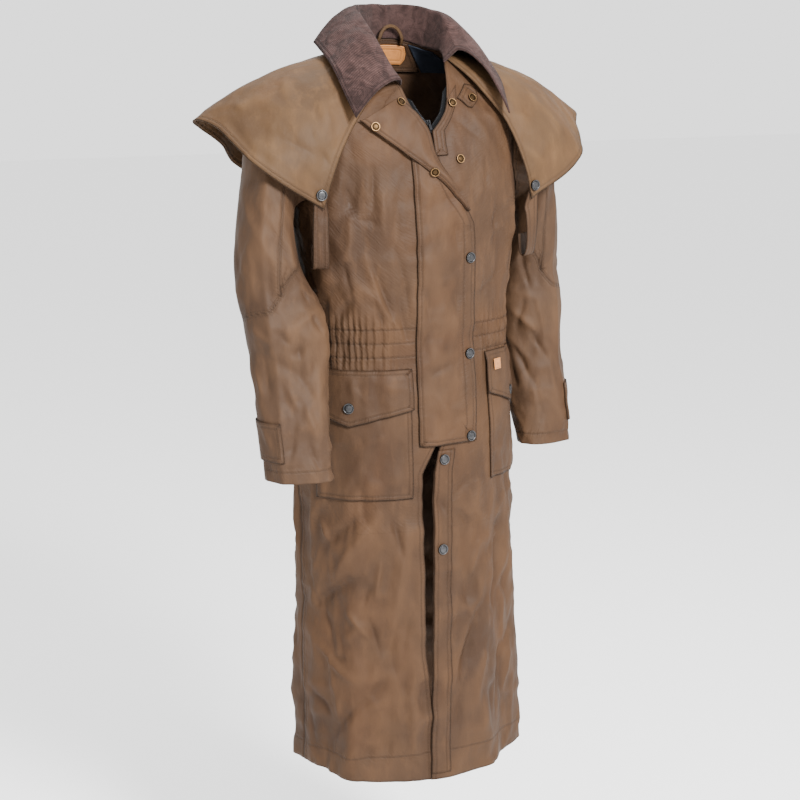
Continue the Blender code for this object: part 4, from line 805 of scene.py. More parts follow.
def marks_for(points, sides="lrb", hem=None, crease=None):
    """How far each point of a cloth lies from its sewn edges, how far along them, and its crease height."""
    across, down = lengths(points)
    spans = {"l": across, "r": across[:, -1:] - across, "t": down, "b": down[-1:] - down}
    distance = np.full(across.shape, FAR)
    along = down.copy()
    for side in sides:
        nearer = spans[side] < distance
        distance = np.where(nearer, spans[side], distance)
        along = np.where(nearer, down if side in "lr" else across, along)
    ridge = np.zeros_like(distance) if crease is None else crease / FULL_CREASE
    away = np.full(across.shape, FAR)
    return {"edge": distance, "along": along, "ridge": ridge, "hem": away if hem is None else hem, "seam": away}


def linked(name, data):
    made = bpy.data.objects.new(name, data)
    bpy.context.scene.collection.objects.link(made)
    return made


def cloth(name, points, marks, wall, outward, materials, closed=False):
    """A thin shell on rows of points, top row first, each left to right as seen from outside."""
    rows, columns = points.shape[:2]
    index = np.arange(rows * columns).reshape(rows, columns)
    following = np.roll(index, -1, axis=1) if closed else None
    left, right = (index, following) if closed else (index[:, :-1], index[:, 1:])
    faces = np.stack([left[:-1], left[1:], right[1:], right[:-1]], axis=-1).reshape(-1, 4)
    mesh = bpy.data.meshes.new(name)
    mesh.from_pydata(points.reshape(-1, 3).tolist(), [], faces.tolist())
    for key, values in marks.items():
        mesh.attributes.new(key, "FLOAT", "POINT").data.foreach_set("value", values.astype(np.float32).ravel())
    made = linked(name, mesh)
    for material in materials:
        mesh.materials.append(material)
    mesh.shade_smooth()
    shell = made.modifiers.new("wall", "SOLIDIFY")
    shell.thickness, shell.offset = wall, 1.0 if outward else -1.0
    if len(materials) > 1:
        shell.material_offset = 1
    for item in bpy.context.selected_objects:
        item.select_set(False)
    bpy.context.view_layer.objects.active = made
    made.select_set(True)
    bpy.ops.object.modifier_apply(modifier=shell.name)
    quads = points.reshape(-1, 3)[faces]
    area = 0.5 * np.linalg.norm(np.cross(quads[:, 2] - quads[:, 0], quads[:, 3] - quads[:, 1]), axis=1).sum()
    ring = np.concatenate([points, points[:, :1]], axis=1) if closed else points
    across, down = lengths(ring)
    made["cut"] = [float(across[:, -1].max()), float(down[-1].max()), float(area)]
    return made


def fit(piece, nodes):
    """The piece stands for its solids and rides on the coat; the size of the cloth it was cut from is worked out but
    not kept.
    """
    width, length, area = piece["cut"]
    del piece["cut"]
    width, length = math.ceil(width * 1000) / 1000, math.ceil(length * 1000) / 1000
    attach(piece, "coat")
    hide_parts(*nodes)
    area = min(max(area, 0.301 * width * length), width * length)
    return piece


def spaced(*runs):
    """Values that run between marks in even steps: (from, to, steps) each, the marks not doubled."""
    parts = [np.linspace(start, end, steps, endpoint=False) for start, end, steps in runs]
    return np.concatenate([*parts, [runs[-1][1]]])


def gathers(z, u, seed, count, fade):
    """Puckers of the drawn-in waist: three stitched rows, cloth puffed between them and fading above and below."""
    pick = np.random.default_rng(seed)
    knots = np.linspace(0, 1, 9)
    phase = 2 * math.pi * (count * u + np.interp(u, knots, pick.uniform(-0.45, 0.45, 9)))
    strength = np.interp(u, np.linspace(0, 1, 14), pick.uniform(0.25, 1.25, 14))
    pitch = (BAND_Z_TOP - BAND_Z_BOTTOM) / 2
    inside = (z < BAND_Z_TOP + 0.006) & (z > BAND_Z_BOTTOM - 0.006)
    over = np.maximum(z - BAND_Z_TOP, 0) + np.maximum(BAND_Z_BOTTOM - z, 0)
    reach = np.exp(-(over / 0.022) ** 1.5)
    strip = (z - BAND_Z_TOP) / pitch * 1.3 + 0.5 * np.sin(31 * u)
    shift = np.where(inside, np.sin(strip * 2.4 + 9 * u), 0.0) * 0.5
    stitch = np.abs(np.sin(math.pi * (z - BAND_Z_TOP) / pitch))
    puff = np.where(inside, stitch * 0.0014 - 0.0006, 0.0) * np.minimum(reach, 1)
    wave = np.cos(phase + shift) * (0.0020 - 0.0006 * stitch * inside) * strength * reach
    wave += 0.0011 * np.cos(2.3 * phase + 1.0 + 2.0 * shift) * reach
    return (puff + wave) * fade


def waist_lines(z, hem_line):
    """Distance to the nearest stitched row of the waist, or to the hem's stitching below it."""
    pitch = (BAND_Z_TOP - BAND_Z_BOTTOM) / 2
    at = np.clip((z - BAND_Z_TOP) / pitch, -2.5, 0.5)
    return np.where(z > -0.8, pitch / math.pi * np.sin(math.pi * at), hem_line - z)


BODY_ROWS = spaced((0.0, 3.0, 30), (3.0, 6.0, 34), (6.0, 8.0, 36), (8.0, 9.0, 34), (9.0, 10.0, 18), (10.0, 14.0, 112))


def body_panel(context, name, first, last, columns, count, seed, tuck=0.0, under_sides=False):
    """A panel of the body between two edges, given as angles by row, tucked in near the hem or at both sides."""
    rows = BODY_ROWS
    seam = np.degrees(SEAM_GAP / 2 / smooth(BODY_SECTIONS, rows)[:, 3])
    overlap = np.degrees(SIDE_OVERLAP / smooth(BODY_SECTIONS, rows)[:, 3]) * np.clip((rows - UNDERARM) / 0.5, 0, 1)
    start, end = first(rows) + seam, last(rows) - seam
    if under_sides:
        start, end = start - overlap, end + overlap
    u = np.linspace(0, 1, columns + 1)[None, :]
    angle = start[:, None] + (end - start)[:, None] * u
    row = np.broadcast_to(rows[:, None], angle.shape)
    z = body_ring(row, angle)[..., 2]
    fade = np.clip((np.abs(wrapped(angle - 270.0)) - 16.0) / 10.0, 0, 1)
    under = tuck * np.clip((u - 0.92) / 0.04, 0, 1) * np.clip((-1.05 - z) / 0.05, 0, 1)
    if under_sides:
        beyond = np.maximum(start[:, None] + overlap[:, None] - angle, angle - end[:, None] + overlap[:, None])
        under = UNDERLAP * np.clip(1 + beyond / np.maximum(overlap[:, None], 0.01), 0, 1) * (overlap[:, None] > 0)
    points, crease = body(row, angle, -under, gather=gathers(z, u, seed, count, fade))
    marks = marks_for(points, "lrt", waist_lines(z, HEM_Z + 0.034), crease)
    wall = context.scene.duster_sizes.cloth_wall
    made = cloth(name, points, marks, wall, False, [looks(context, "body")])
    return fit(made, [name.removesuffix("_cloth")])


def armhole_half(rows):
    return np.where((rows > SHOULDER_POINT) & (rows < UNDERARM), between(ARMHOLE, rows), 0.0)


def front_edge_x(rows, side):
    return between(FRONT_EDGES, smooth(BODY_SECTIONS, rows)[:, 1], 1 if side < 0 else 2)


def front_edge(rows, side):
    return angle_at_x(rows, front_edge_x(rows, side))


class DUSTER_PG_sizes(bpy.types.PropertyGroup):
    """Sizes of the coat's cloth and hardware."""
    cloth_wall: bpy.props.FloatProperty(name="Cloth", description="Thickness of the body, sleeve and cape cloth",
                                        default=0.0013, unit="LENGTH")
    band_wall: bpy.props.FloatProperty(name="Bands", description="Thickness of flaps, plackets, straps and tabs",
                                       default=0.0015, unit="LENGTH")
    collar_wall: bpy.props.FloatProperty(name="Collar", description="Thickness of the corduroy collar",
                                         default=0.0024, unit="LENGTH")
    flap_lift: bpy.props.FloatProperty(name="Storm flap", description="How far the storm flap stands off the body",
                                       default=0.0034, unit="LENGTH")
    pocket_lift: bpy.props.FloatProperty(name="Pocket", description="How far a pocket stands off the body",
                                         default=0.0013, unit="LENGTH")
    tooth_pitch: bpy.props.FloatProperty(name="Zip teeth", description="Distance from one tooth to the next",
                                         default=0.0027, unit="LENGTH")
    cap_rim: bpy.props.FloatProperty(name="Snap rim", description="Width of the raised rim of a snap's cap",
                                     default=0.0013, unit="LENGTH")


def colour_property(name, description, default):
    return bpy.props.FloatVectorProperty(name=name, description=description, default=default, subtype="COLOR",
                                         size=3, min=0.0, max=1.0)


class DUSTER_PG_colours(bpy.types.PropertyGroup):
    """Colours of the coat's cloth, leather and metal."""
    body: colour_property("Body", "Waxed cotton of the body, flaps and pockets", (0.0440, 0.0228, 0.0112))
    sleeve: colour_property("Sleeves", "Waxed cotton of the sleeves", (0.0490, 0.0262, 0.0134))
    cape: colour_property("Cape", "Waxed cotton of the cape, paler than the body", (0.0640, 0.0348, 0.0155))
    collar: colour_property("Collar", "Corduroy of the collar", (0.0310, 0.0172, 0.0152))
    leather: colour_property("Leather", "Neck patch and pocket tab", (0.400, 0.156, 0.041))
    silver: colour_property("Silver snaps", "Antique silver plating", (0.052, 0.052, 0.054))
    brass: colour_property("Brass snaps", "Antique brass plating", (0.125, 0.073, 0.034))


def grid(first, last, count):
    """Places at the ends of a number of even steps."""
    return np.linspace(first, last, count + 1)


class DUSTER_OT_body(bpy.types.Operator):
    """Back and two fronts, neck to hem, gathered at the waist"""
    bl_idname = "duster.body"
    bl_label = "Body"

    def execute(self, context):
        body_panel(context, "back_cloth", armhole_half, lambda rows: 180.0 - armhole_half(rows), 150, 38, 5,
                   under_sides=True)
        body_panel(context, "front_right_cloth", lambda rows: 180.0 + armhole_half(rows),
                   lambda rows: front_edge(rows, -1), 112, 21, 7, tuck=0.0017)
        body_panel(context, "front_left_cloth", lambda rows: front_edge(rows, 1),
                   lambda rows: 360.0 - armhole_half(rows), 112, 21, 9)
        return {"FINISHED"}


def seam_distance(around, section):
    """How far each place on a sleeve lies from the nearest of its seams, and how far along that seam."""
    s, t = np.radians(wrapped(around)) * SLEEVE_RADIUS, section * SECTION_LENGTH
    nearest, along = np.full(s.shape, FAR), t.copy()
    for line in SLEEVE_SEAMS:
        run = 0.0
        points = [(math.radians(angle) * SLEEVE_RADIUS, at * SECTION_LENGTH) for angle, at in line]
        for (s0, t0), (s1, t1) in zip(points, points[1:]):
            length = math.hypot(s1 - s0, t1 - t0)
            ds, dt = (s1 - s0) / length, (t1 - t0) / length
            reach = np.clip((s - s0) * ds + (t - t0) * dt, 0, length)
            off = np.hypot(s - s0 - reach * ds, t - t0 - reach * dt)
            nearer = off < nearest
            nearest, along = np.where(nearer, off, nearest), np.where(nearer, run + reach, along)
            run += length
    return nearest, along


def make_sleeve(context, name, side):
    """A sleeve from its armhole to its cuff, eased into the armhole with small puckers."""
    count, last = 128, len(SLEEVE_RIGHT) - 1
    u = np.arange(count) / count
    loop = armhole_loop(side, count)
    away = loop - armhole_loop(side, 240).mean(0)
    start = np.degrees(np.arctan2(-away[:, 1] / 0.072, away[:, 2] / 0.092)) % 360.0
    start[0] = 0.0
    rows, creases, sections, arounds = [], [], [], []
    for section in spaced((0.0, 2.0, 18), (2.0, float(last), 110)):
        share = min(section / 5.0, 1.0)
        around = start * (1 - share) + 360.0 * u * share
        points, crease = sleeve(side, np.full(count, section), around)
        rows.append(points)
        creases.append(crease)
        arounds.append(around)
        sections.append(np.full(count, section))
    head = []
    for step in range(6):
        t = (step / 6) ** 1.2
        ease = 0.0007 * math.sin(math.pi * step / 6) * np.sin(2 * math.pi * 22 * u + 2 * np.sin(9 * u))
        head.append(loop * (1 - t) + rows[0] * t + unit(away) * ease[:, None])
    points = np.array(head + rows)
    crease = np.array([np.zeros(count)] * 6 + creases)
    section = np.array([np.full(count, -0.6 + 0.1 * step) for step in range(6)] + sections)
    around = np.array([start] * 6 + arounds)
    marks = marks_for(points, "t", None, crease)
    marks["seam"], along = seam_distance(around, section)
    marks["along"] = np.where(marks["seam"] < marks["edge"], along, marks["along"])
    top = lengths(points)[1]
    marks["hem"] = top[-1:] - top - 0.020
    if side > 0:
        order = np.concatenate([[0], np.arange(count - 1, 0, -1)])
        points = points[:, order]
        marks = {key: values[:, order] for key, values in marks.items()}
    made = cloth(name + "_cloth", points, marks, context.scene.duster_sizes.cloth_wall, False,
                 [looks(context, "sleeve"), looks(context, "lining")], closed=True)
    fit(made, [name, name + "_lower"])


class DUSTER_OT_sleeves(bpy.types.Operator):
    """Two sleeves, each with its elbow seams and stitched cuff"""
    bl_idname = "duster.sleeves"
    bl_label = "Sleeves"

    def execute(self, context):
        make_sleeve(context, "sleeve_right", -1)
        make_sleeve(context, "sleeve_left", 1)
        return {"FINISHED"}


class DUSTER_OT_cape(bpy.types.Operator):
    """Shoulder cape, open at the front, with a double-stitched edge"""
    bl_idname = "duster.cape"
    bl_label = "Cape"

    def execute(self, context):
        right_end = CAPE_SECTIONS[0][0]
        angle = grid(180.0 - right_end, right_end, 176)[None, :]
        points, crease = cape(angle, (np.linspace(0, 1, 56) ** 0.85)[:, None])
        made = cloth("cape_cloth", points, marks_for(points, "lrb", None, crease),
                     context.scene.duster_sizes.cloth_wall, True, [looks(context, "cape")])
        fit(made, ["cape"])
        return {"FINISHED"}


class DUSTER_OT_collar(bpy.types.Operator):
    """Corduroy collar: its stand, its roll and its fall"""
    bl_idname = "duster.collar"
    bl_label = "Collar"

    def execute(self, context):
        first, last = COLLAR_SECTIONS[0][0], COLLAR_SECTIONS[-1][0]
        angle = grid(first, last, 150)[None, :]
        share = spaced((0.0, 0.85, 10), (0.85, 1.25, 14), (1.25, 2.0, 26))[:, None]
        angle, share = np.broadcast_arrays(angle, share)
        points, crease = collar(angle, share)
        marks = marks_for(points, "lrb", None, crease)
        marks["cords"] = (angle + COLLAR_END) / COLLAR_TURN * CORDED_LENGTH
        made = cloth("collar_cloth", points, marks, context.scene.duster_sizes.collar_wall, False,
                     [looks(context, "corduroy")])
        fit(made, ["collar"])
        return {"FINISHED"}


def strip(context, name, rows, columns, lift, marks, nodes, own, hem_x=None, seed=3):
    """A band on the front of the body from rows of height, left x and right x, with creases of its own."""
    heights, left, right = (np.array(column) for column in zip(*rows))
    share = np.linspace(0, 1, columns + 1)[None, :]
    x = left[:, None] + (right - left)[:, None] * share
    z = np.broadcast_to(heights[:, None], x.shape)
    ramp = np.clip((x - left[:, None]) / 0.012, 0, 1)
    wave = Creases(0.16, 0.60, seed, 60, wraps=False, strength=own / 0.0016)
    extra = wave.at(x - x.min(), heights[0] - z) * ramp
    points, crease = on_front(x, z, LIFT + (lift - LIFT) * ramp + np.abs(extra) * 0.6, ON_TOP)
    made_marks = marks_for(points, marks, None, crease + extra)
    if hem_x is not None:
        across = lengths(points)[0]
        made_marks["hem"] = across[:, -1:] - across - hem_x
    made = cloth(name, points, made_marks, context.scene.duster_sizes.band_wall, True, [looks(context, "body")])
    return fit(made, nodes)


def spread(edges, count):
    """Rows of height, left x and right x, evenly spaced, from a few given ones."""
    heights = grid(edges[0][0], edges[-1][0], count)
    return [(z, float(between(edges, z, 1)), float(between(edges, z, 2))) for z in heights]


def turned(context, at, share):
    """Points on the turned-back part of the storm flap, its middle puffed away from the body."""
    roll_z, roll_x, free_z, free_x = np.moveaxis(smooth(TURNED_FLAP, at), -1, 0)
    stand = context.scene.duster_sizes.flap_lift + 0.0016 + 0.0010 + 0.0060 * np.sin(math.pi * share)
    return on_front(roll_x + (free_x - roll_x) * share, roll_z + (free_z - roll_z) * share, stand, ON_TOP)


class DUSTER_OT_flap(bpy.types.Operator):
    """Storm flap over the zip, and its upper part turned back"""
    bl_idname = "duster.flap"
    bl_label = "Storm flap"

    def execute(self, context):
        edges = ((FLAP_Z_TOP, FLAP_X_SEAM, -0.004), (-0.160, FLAP_X_SEAM, 0.004), (-0.215, FLAP_X_SEAM, 0.034),
                 (FLAP_Z_ROLL, FLAP_X_SEAM + 0.001, FLAP_X_FREE - 0.003), (-0.30, FLAP_X_SEAM + 0.002, FLAP_X_FREE),
                 (FLAP_Z_BOTTOM, FLAP_X_SEAM + 0.002, FLAP_X_FREE))
        lift = context.scene.duster_sizes.flap_lift
        strip(context, "storm_flap_cloth", spread(edges, 150), 36, lift, "lrb", ["storm_flap"], 0.0013, hem_x=0.024)
        at, share = np.broadcast_arrays(grid(0, 5, 70)[:, None], grid(1, 0, 26)[None, :])
        points, crease = turned(context, at, share)
        made = cloth("storm_flap_turned_cloth", points, marks_for(points, "lrb", None, crease),
                     context.scene.duster_sizes.band_wall, True, [looks(context, "body")])
        fit(made, ["storm_flap_turned"])
        return {"FINISHED"}


def edge_band(context, name, side, rows, inner, outer, lift, wall, look, nodes, columns):
    """A band along a front edge, from inner to outer away from it, over some rows of the body."""
    edge = front_edge_x(rows, side)
    share = grid(0, 1, columns)[None, :]
    share = share if side > 0 else 1 - share
    x = edge[:, None] + side * (inner + (outer - inner) * share)
    half_width = smooth(BODY_SECTIONS, rows)[:, 3][:, None]
    x = side * np.clip(side * x, 0.0006, half_width * 0.985)
    row = np.broadcast_to(rows[:, None], x.shape)
    points, crease = body(row, angle_at_x(row, x), lift, ON_TOP)
    made = cloth(name, points, marks_for(points, "lrb", None, crease), wall, True, [looks(context, look)])
    return fit(made, nodes)


class DUSTER_OT_plackets(bpy.types.Operator):
    """Bands down the left front's neck and skirt edges, and the throat tab"""
    bl_idname = "duster.plackets"
    bl_label = "Plackets"

    def execute(self, context):
        wall = context.scene.duster_sizes.band_wall
        edge_band(context, "placket_left_cloth", 1, grid(0.6, 3.35, 40), 0.0, 0.0250, LIFT + 0.0003, wall, "body",
                  ["placket_left"], 10)
        skirt = ((-0.662, -0.0060, 0.0280), (-0.70, -0.0150, 0.0210), (-1.250, -0.0330, 0.0030))
        strip(context, "skirt_placket_left_cloth", spread(skirt, 110), 14, LIFT, "lr", ["skirt_placket_left"], 0.0004,
              seed=8)
        outline = ((0.90, 0.066, 0.090), (1.15, 0.074, 0.102), (1.40, 0.080, 0.110), (1.55, 0.084, 0.112),
                   (1.70, 0.092, 0.106))
        rows = grid(0.90, 1.70, 24)
        left, right = between(outline, rows, 1), between(outline, rows, 2)
        x = left[:, None] + (right - left)[:, None] * grid(0, 1, 14)[None, :]
        row = np.broadcast_to(rows[:, None], x.shape)
        points, crease = body(row, angle_at_x(row, x), LIFT + 0.0004, ON_TOP)
        made = cloth("throat_tab_cloth", points, marks_for(points, "lrtb", None, crease), wall, True,
                     [looks(context, "body")])
        fit(made, ["throat_tab"])
        return {"FINISHED"}


def on_angles(context, name, angles, heights, lift, wall, marks, look, nodes):
    """A piece that lies on the body, its places given as angles and heights."""
    row = row_at(angles, heights)
    points, crease = body(row, angles, lift, 0.85)
    made = cloth(name, points, marks_for(points, marks, None, crease), wall, True, [looks(context, look)])
    return fit(made, nodes)


def make_pocket(context, name, first, last, top, bottom, flap_top, flap_corner, flap_point, point_at):
    """A patch pocket with a soft sag, and its pointed flap."""
    sizes = context.scene.duster_sizes
    u, v = np.broadcast_arrays(grid(0, 1, 52)[None, :], grid(0, 1, 50)[:, None])
    sag = 0.0022 * np.sin(math.pi * u) * np.sin(math.pi * np.clip(v * 1.05, 0, 1)) ** 0.7
    pucker = 0.0004 * np.sin(2 * math.pi * 26 * v + 4 * u) * np.exp(-np.minimum(u, 1 - u) / 0.06)
    angles = first + (last - first) * u
    on_angles(context, name + "_cloth", angles, top + (bottom - top) * v, sizes.pocket_lift + 0.0004 + sag + pucker,
              sizes.band_wall, "lrb", "body", [name])
    u, v = np.broadcast_arrays(grid(0, 1, 56)[None, :], grid(0, 1, 26)[:, None])
    side = np.where(u <= point_at, u / point_at, (1 - u) / (1 - point_at))
    low = flap_corner + (flap_point - flap_corner) * side
    heights = flap_top + (low - flap_top) * v
    angles = first - 1 + (last - first + 2) * u
    under = 0.0022 * np.sin(math.pi * u) * np.clip((top - heights) / 0.05, 0, 1)
    rise = np.clip(v / 0.22, 0, 1)
    lift = LIFT + (sizes.pocket_lift + sizes.band_wall + 0.0022 - LIFT) * rise + 0.0014 * v + under
    on_angles(context, name + "_flap_cloth", angles, heights, lift, sizes.band_wall, "lrbt", "body",
              [name + "_flap"])


class DUSTER_OT_pockets(bpy.types.Operator):
    """Two patch pockets with pointed flaps, and the small bare leather tab on the left one"""
    bl_idname = "duster.pockets"
    bl_label = "Pockets"

    def execute(self, context):
        make_pocket(context, "pocket_right", 197, 257, -0.545, -0.742, -0.516, -0.586, -0.612, 0.42)
        make_pocket(context, "pocket_left", 299, 343, -0.530, -0.727, -0.500, -0.572, -0.599, 0.55)
        sizes = context.scene.duster_sizes
        u, v = np.broadcast_arrays(grid(0, 1, 12)[None, :], grid(0, 1, 14)[:, None])
        lift = sizes.pocket_lift + sizes.band_wall * 2 + 0.0048
        on_angles(context, "leather_label_piece", 303.5 + 6.5 * u, -0.515 - 0.019 * v, lift, 0.0012, "lrtb",
                  "leather", ["leather_label"])
        return {"FINISHED"}


def make_cuff_tab(context, name, side):
    """A tab that lies on a sleeve above its cuff."""
    section, share = np.broadcast_arrays(grid(7.68, 9.10, 26)[:, None], grid(0, 1, 30)[None, :])
    around = -14.0 + 88.0 * (share if side < 0 else 1 - share)
    points, crease = sleeve(side, section, around, 0.0016 + 0.0004 * (section - 7.68), ON_TOP)
    made = cloth(name + "_cloth", points, marks_for(points, "lrtb", None, crease),
                 context.scene.duster_sizes.band_wall, True, [looks(context, "sleeve")])
    fit(made, [name])


def cape_corner(side, across, down):
    """A place on the flat front corner of the cape, and its normal."""
    shares = ((7 / 8) ** 0.85, 1.0)
    edge = CAPE_SECTIONS[0][0] if side < 0 else 180.0 - CAPE_SECTIONS[0][0]
    angles = (edge, edge + side * 296 / 36)
    corner = [[cape(angle, share, fine=0.0)[0] for angle in angles] for share in shares]
    above = corner[0][0] * (1 - across) + corner[0][1] * across
    below = corner[1][0] * (1 - across) + corner[1][1] * across
    normal = unit(np.cross(corner[1][1] - corner[1][0], corner[0][0] - corner[1][0]))
    return above * (1 - down) + below * down, normal if normal[1] < 0 else -normal


def make_cape_strap(context, name, side):
    """A strap that hangs from a front corner of the cape and turns back up behind itself."""
    path = ((-0.2035, -0.1055, -0.246), (-0.2045, -0.1065, -0.264), (-0.2050, -0.1070, -0.292),
            (-0.2040, -0.1060, -0.318), (-0.2030, -0.1020, -0.334), (-0.2020, -0.0960, -0.339),
            (-0.2010, -0.0905, -0.334), (-0.2000, -0.0880, -0.320), (-0.1990, -0.0870, -0.302))
    top = []
    for share in (0.05, 0.45, 0.85):
        place, normal = cape_corner(-1, 0.9 - share, 0.5)
        top.append(place - normal * 0.0030)
    rows = [top]
    for step, middle in enumerate(path):
        lean = min(step / 3, 1.0)
        across = np.array((1.0 - 0.1 * lean, -0.42 * lean, -0.5 * (1 - lean))) * STRAP_HALF_WIDTH
        rows.append([np.array(middle) + across * share for share in (-1.0, 0.0, 1.0)])
    table = np.array(rows).reshape(len(rows), -1)
    rows = smooth(table, grid(0, len(rows) - 1, 70)).reshape(-1, 3, 3)
    share = grid(0, 2, 10)
    points = np.stack([smooth(row, share) for row in rows])
    if side > 0:
        points = points[:, ::-1] * np.array((-1.0, 1.0, 1.0))
    made = cloth(name + "_cloth", points, marks_for(points, "lr"), context.scene.duster_sizes.band_wall, True,
                 [looks(context, "body")])
    fit(made, [name])


class DUSTER_OT_tabs(bpy.types.Operator):
    """Cuff tabs on the sleeves and strap loops under the cape's corners"""
    bl_idname = "duster.tabs"
    bl_label = "Tabs and straps"

    def execute(self, context):
        for name, side in (("right", -1), ("left", 1)):
            make_cuff_tab(context, "cuff_tab_" + name, side)
            make_cape_strap(context, "cape_strap_" + name, side)
        return {"FINISHED"}


def inside_back(context, name, rows, first, last, columns, depth, wall, look, nodes):
    """A piece inside the neck at a depth, its edges given as angles by row; both faces carry the same finish."""
    angle = first[:, None] + (last - first)[:, None] * grid(0, 1, columns)[None, :]
    row = np.broadcast_to(rows[:, None], angle.shape)
    points = body_ring(row, angle) - body_normal(row, angle) * (depth + wall)
    made = cloth(name, points, marks_for(points, "lrtb"), wall, True, [looks(context, look)])
    return fit(made, nodes)


class DUSTER_OT_neck(bpy.types.Operator):
    """Facing, lining, bare leather patch and hanging loop inside the back of the neck"""
    bl_idname = "duster.neck"
    bl_label = "Neck"

    def execute(self, context):
        rows = grid(0.08, 1.58, 30)
        flat = np.ones_like(rows)
        inside_back(context, "back_neck_facing_cloth", rows, flat * 60.0, flat * 150.0, 60, FACING_DEPTH,
                    FACING_WALL, "body", ["back_neck_facing"])
        inside_back(context, "lining_neck_cloth", rows, flat * 14.0, flat * 58.5, 40, FACING_DEPTH, FACING_WALL,
                    "lining", ["lining_neck"])
        outline = ((0.22, 66.0, 112.0), (0.55, 67.0, 111.0), (0.88, 70.0, 107.0), (1.16, 75.0, 102.0))
        rows = grid(0.22, 1.16, 26)
        inside_back(context, "leather_patch_piece", rows, between(outline, rows, 1), between(outline, rows, 2), 40,
                    PATCH_DEPTH, FACING_WALL, "leather", ["leather_patch"])
        turn = grid(0, math.pi, 60)
        rise = np.sin(turn)
        middle = np.stack([0.004 - 0.0227 * np.cos(turn),
                           0.0501 + 0.0005 * np.cos(turn) - 0.0062 * np.minimum(rise / 0.35, 1.0),
                           0.0253 + 0.0007 * np.cos(turn) + 0.0305 * rise], axis=-1)
        share = grid(-1, 1, 8)
        outward = np.stack([-np.cos(turn), 0 * turn, rise], axis=-1)
        points = middle[:, None, :] + outward[:, None, :] * (share * 0.0030)[None, :, None]
        made = cloth("hanging_loop_cloth", points, marks_for(points, "lr"), 0.0030, True, [looks(context, "cape")])
        fit(made, ["hanging_loop"])
        return {"FINISHED"}


class DUSTER_OT_zip(bpy.types.Operator):
    """Zip tapes with their rows of teeth; the slider and its pull keep their solids with a rubbed black finish"""
    bl_idname = "duster.zip"
    bl_label = "Zip"

    def execute(self, context):
        for name, side in (("right", -1), ("left", 1)):
            edge_band(context, f"zip_tape_{name}_cloth", side, grid(0.3, 2.0, 36), -0.0100, 0.0080, TAPE_LIFT, 0.0010,
                      "tape", [f"zip_tape_{name}"], 8)
            edge_band(context, f"zip_tape_lower_{name}_cloth", side, grid(2.02, 10.0, 120), -0.0022, 0.0120,
                      TAPE_LIFT, 0.0010, "tape", [f"zip_tape_lower_{name}"], 6)
            self.teeth(context, f"zip_teeth_{name}", side)
        for name in ("zip_slider", "zip_pull"):
            NODES[name].data.materials.clear()
            NODES[name].data.materials.append(looks(context, "zip"))
        return {"FINISHED"}

    def teeth(self, context, name, side):
        """One moulded tooth is modelled and copied down the free edge of a tape."""
        pitch = context.scene.duster_sizes.tooth_pitch
        rows = grid(0.34, 1.98, 400)
        edge = front_edge_x(rows, side)
        x = side * np.clip(side * (edge - side * 0.0085), 0.0012, 1.0)
        line = body(rows, angle_at_x(rows, x), TAPE_LIFT + 0.0015, 0.0)[0]
        run = np.concatenate([[0], np.cumsum(np.linalg.norm(np.diff(line, axis=0), axis=1))])
        bpy.ops.object.select_all(action="DESELECT")
        bpy.ops.mesh.primitive_cube_add(size=1.0)
        tooth = context.object
        tooth.scale = (0.0030, 0.0015, 0.0014)
        bpy.ops.object.transform_apply(location=False, rotation=False, scale=True)
        bevel = tooth.modifiers.new("edges", "BEVEL")
        bevel.width, bevel.segments = 0.0003, 1
        bpy.ops.object.modifier_apply(modifier=bevel.name)
        mould = tooth.data
        bpy.data.objects.remove(tooth)
        joined = bmesh.new()
        for at in np.arange(pitch, run[-1], pitch):
            place = Vector([float(np.interp(at, run, line[:, axis])) for axis in range(3)])
            ahead = Vector([float(np.interp(at + pitch, run, line[:, axis])) for axis in range(3)])
            copy = mould.copy()
            down = (ahead - place).normalized() if (ahead - place).length > 1e-6 else Vector((0, 0, -1))
            turn = Vector((0, 0, -1)).rotation_difference(down).to_matrix().to_4x4()
            copy.transform(Matrix.Translation(place) @ turn)
            joined.from_mesh(copy)
            bpy.data.meshes.remove(copy)
        mesh = bpy.data.meshes.new(name)
        joined.to_mesh(mesh)
        joined.free()
        made = linked(name, mesh)
        mesh.materials.append(looks(context, "zip"))
        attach(made, "coat")


def pick_top(work):
    """Selects the face on top of a round piece."""
    for face in work.faces:
        face.select = face.normal.z > 0.7 and face.calc_center_median().z > 0


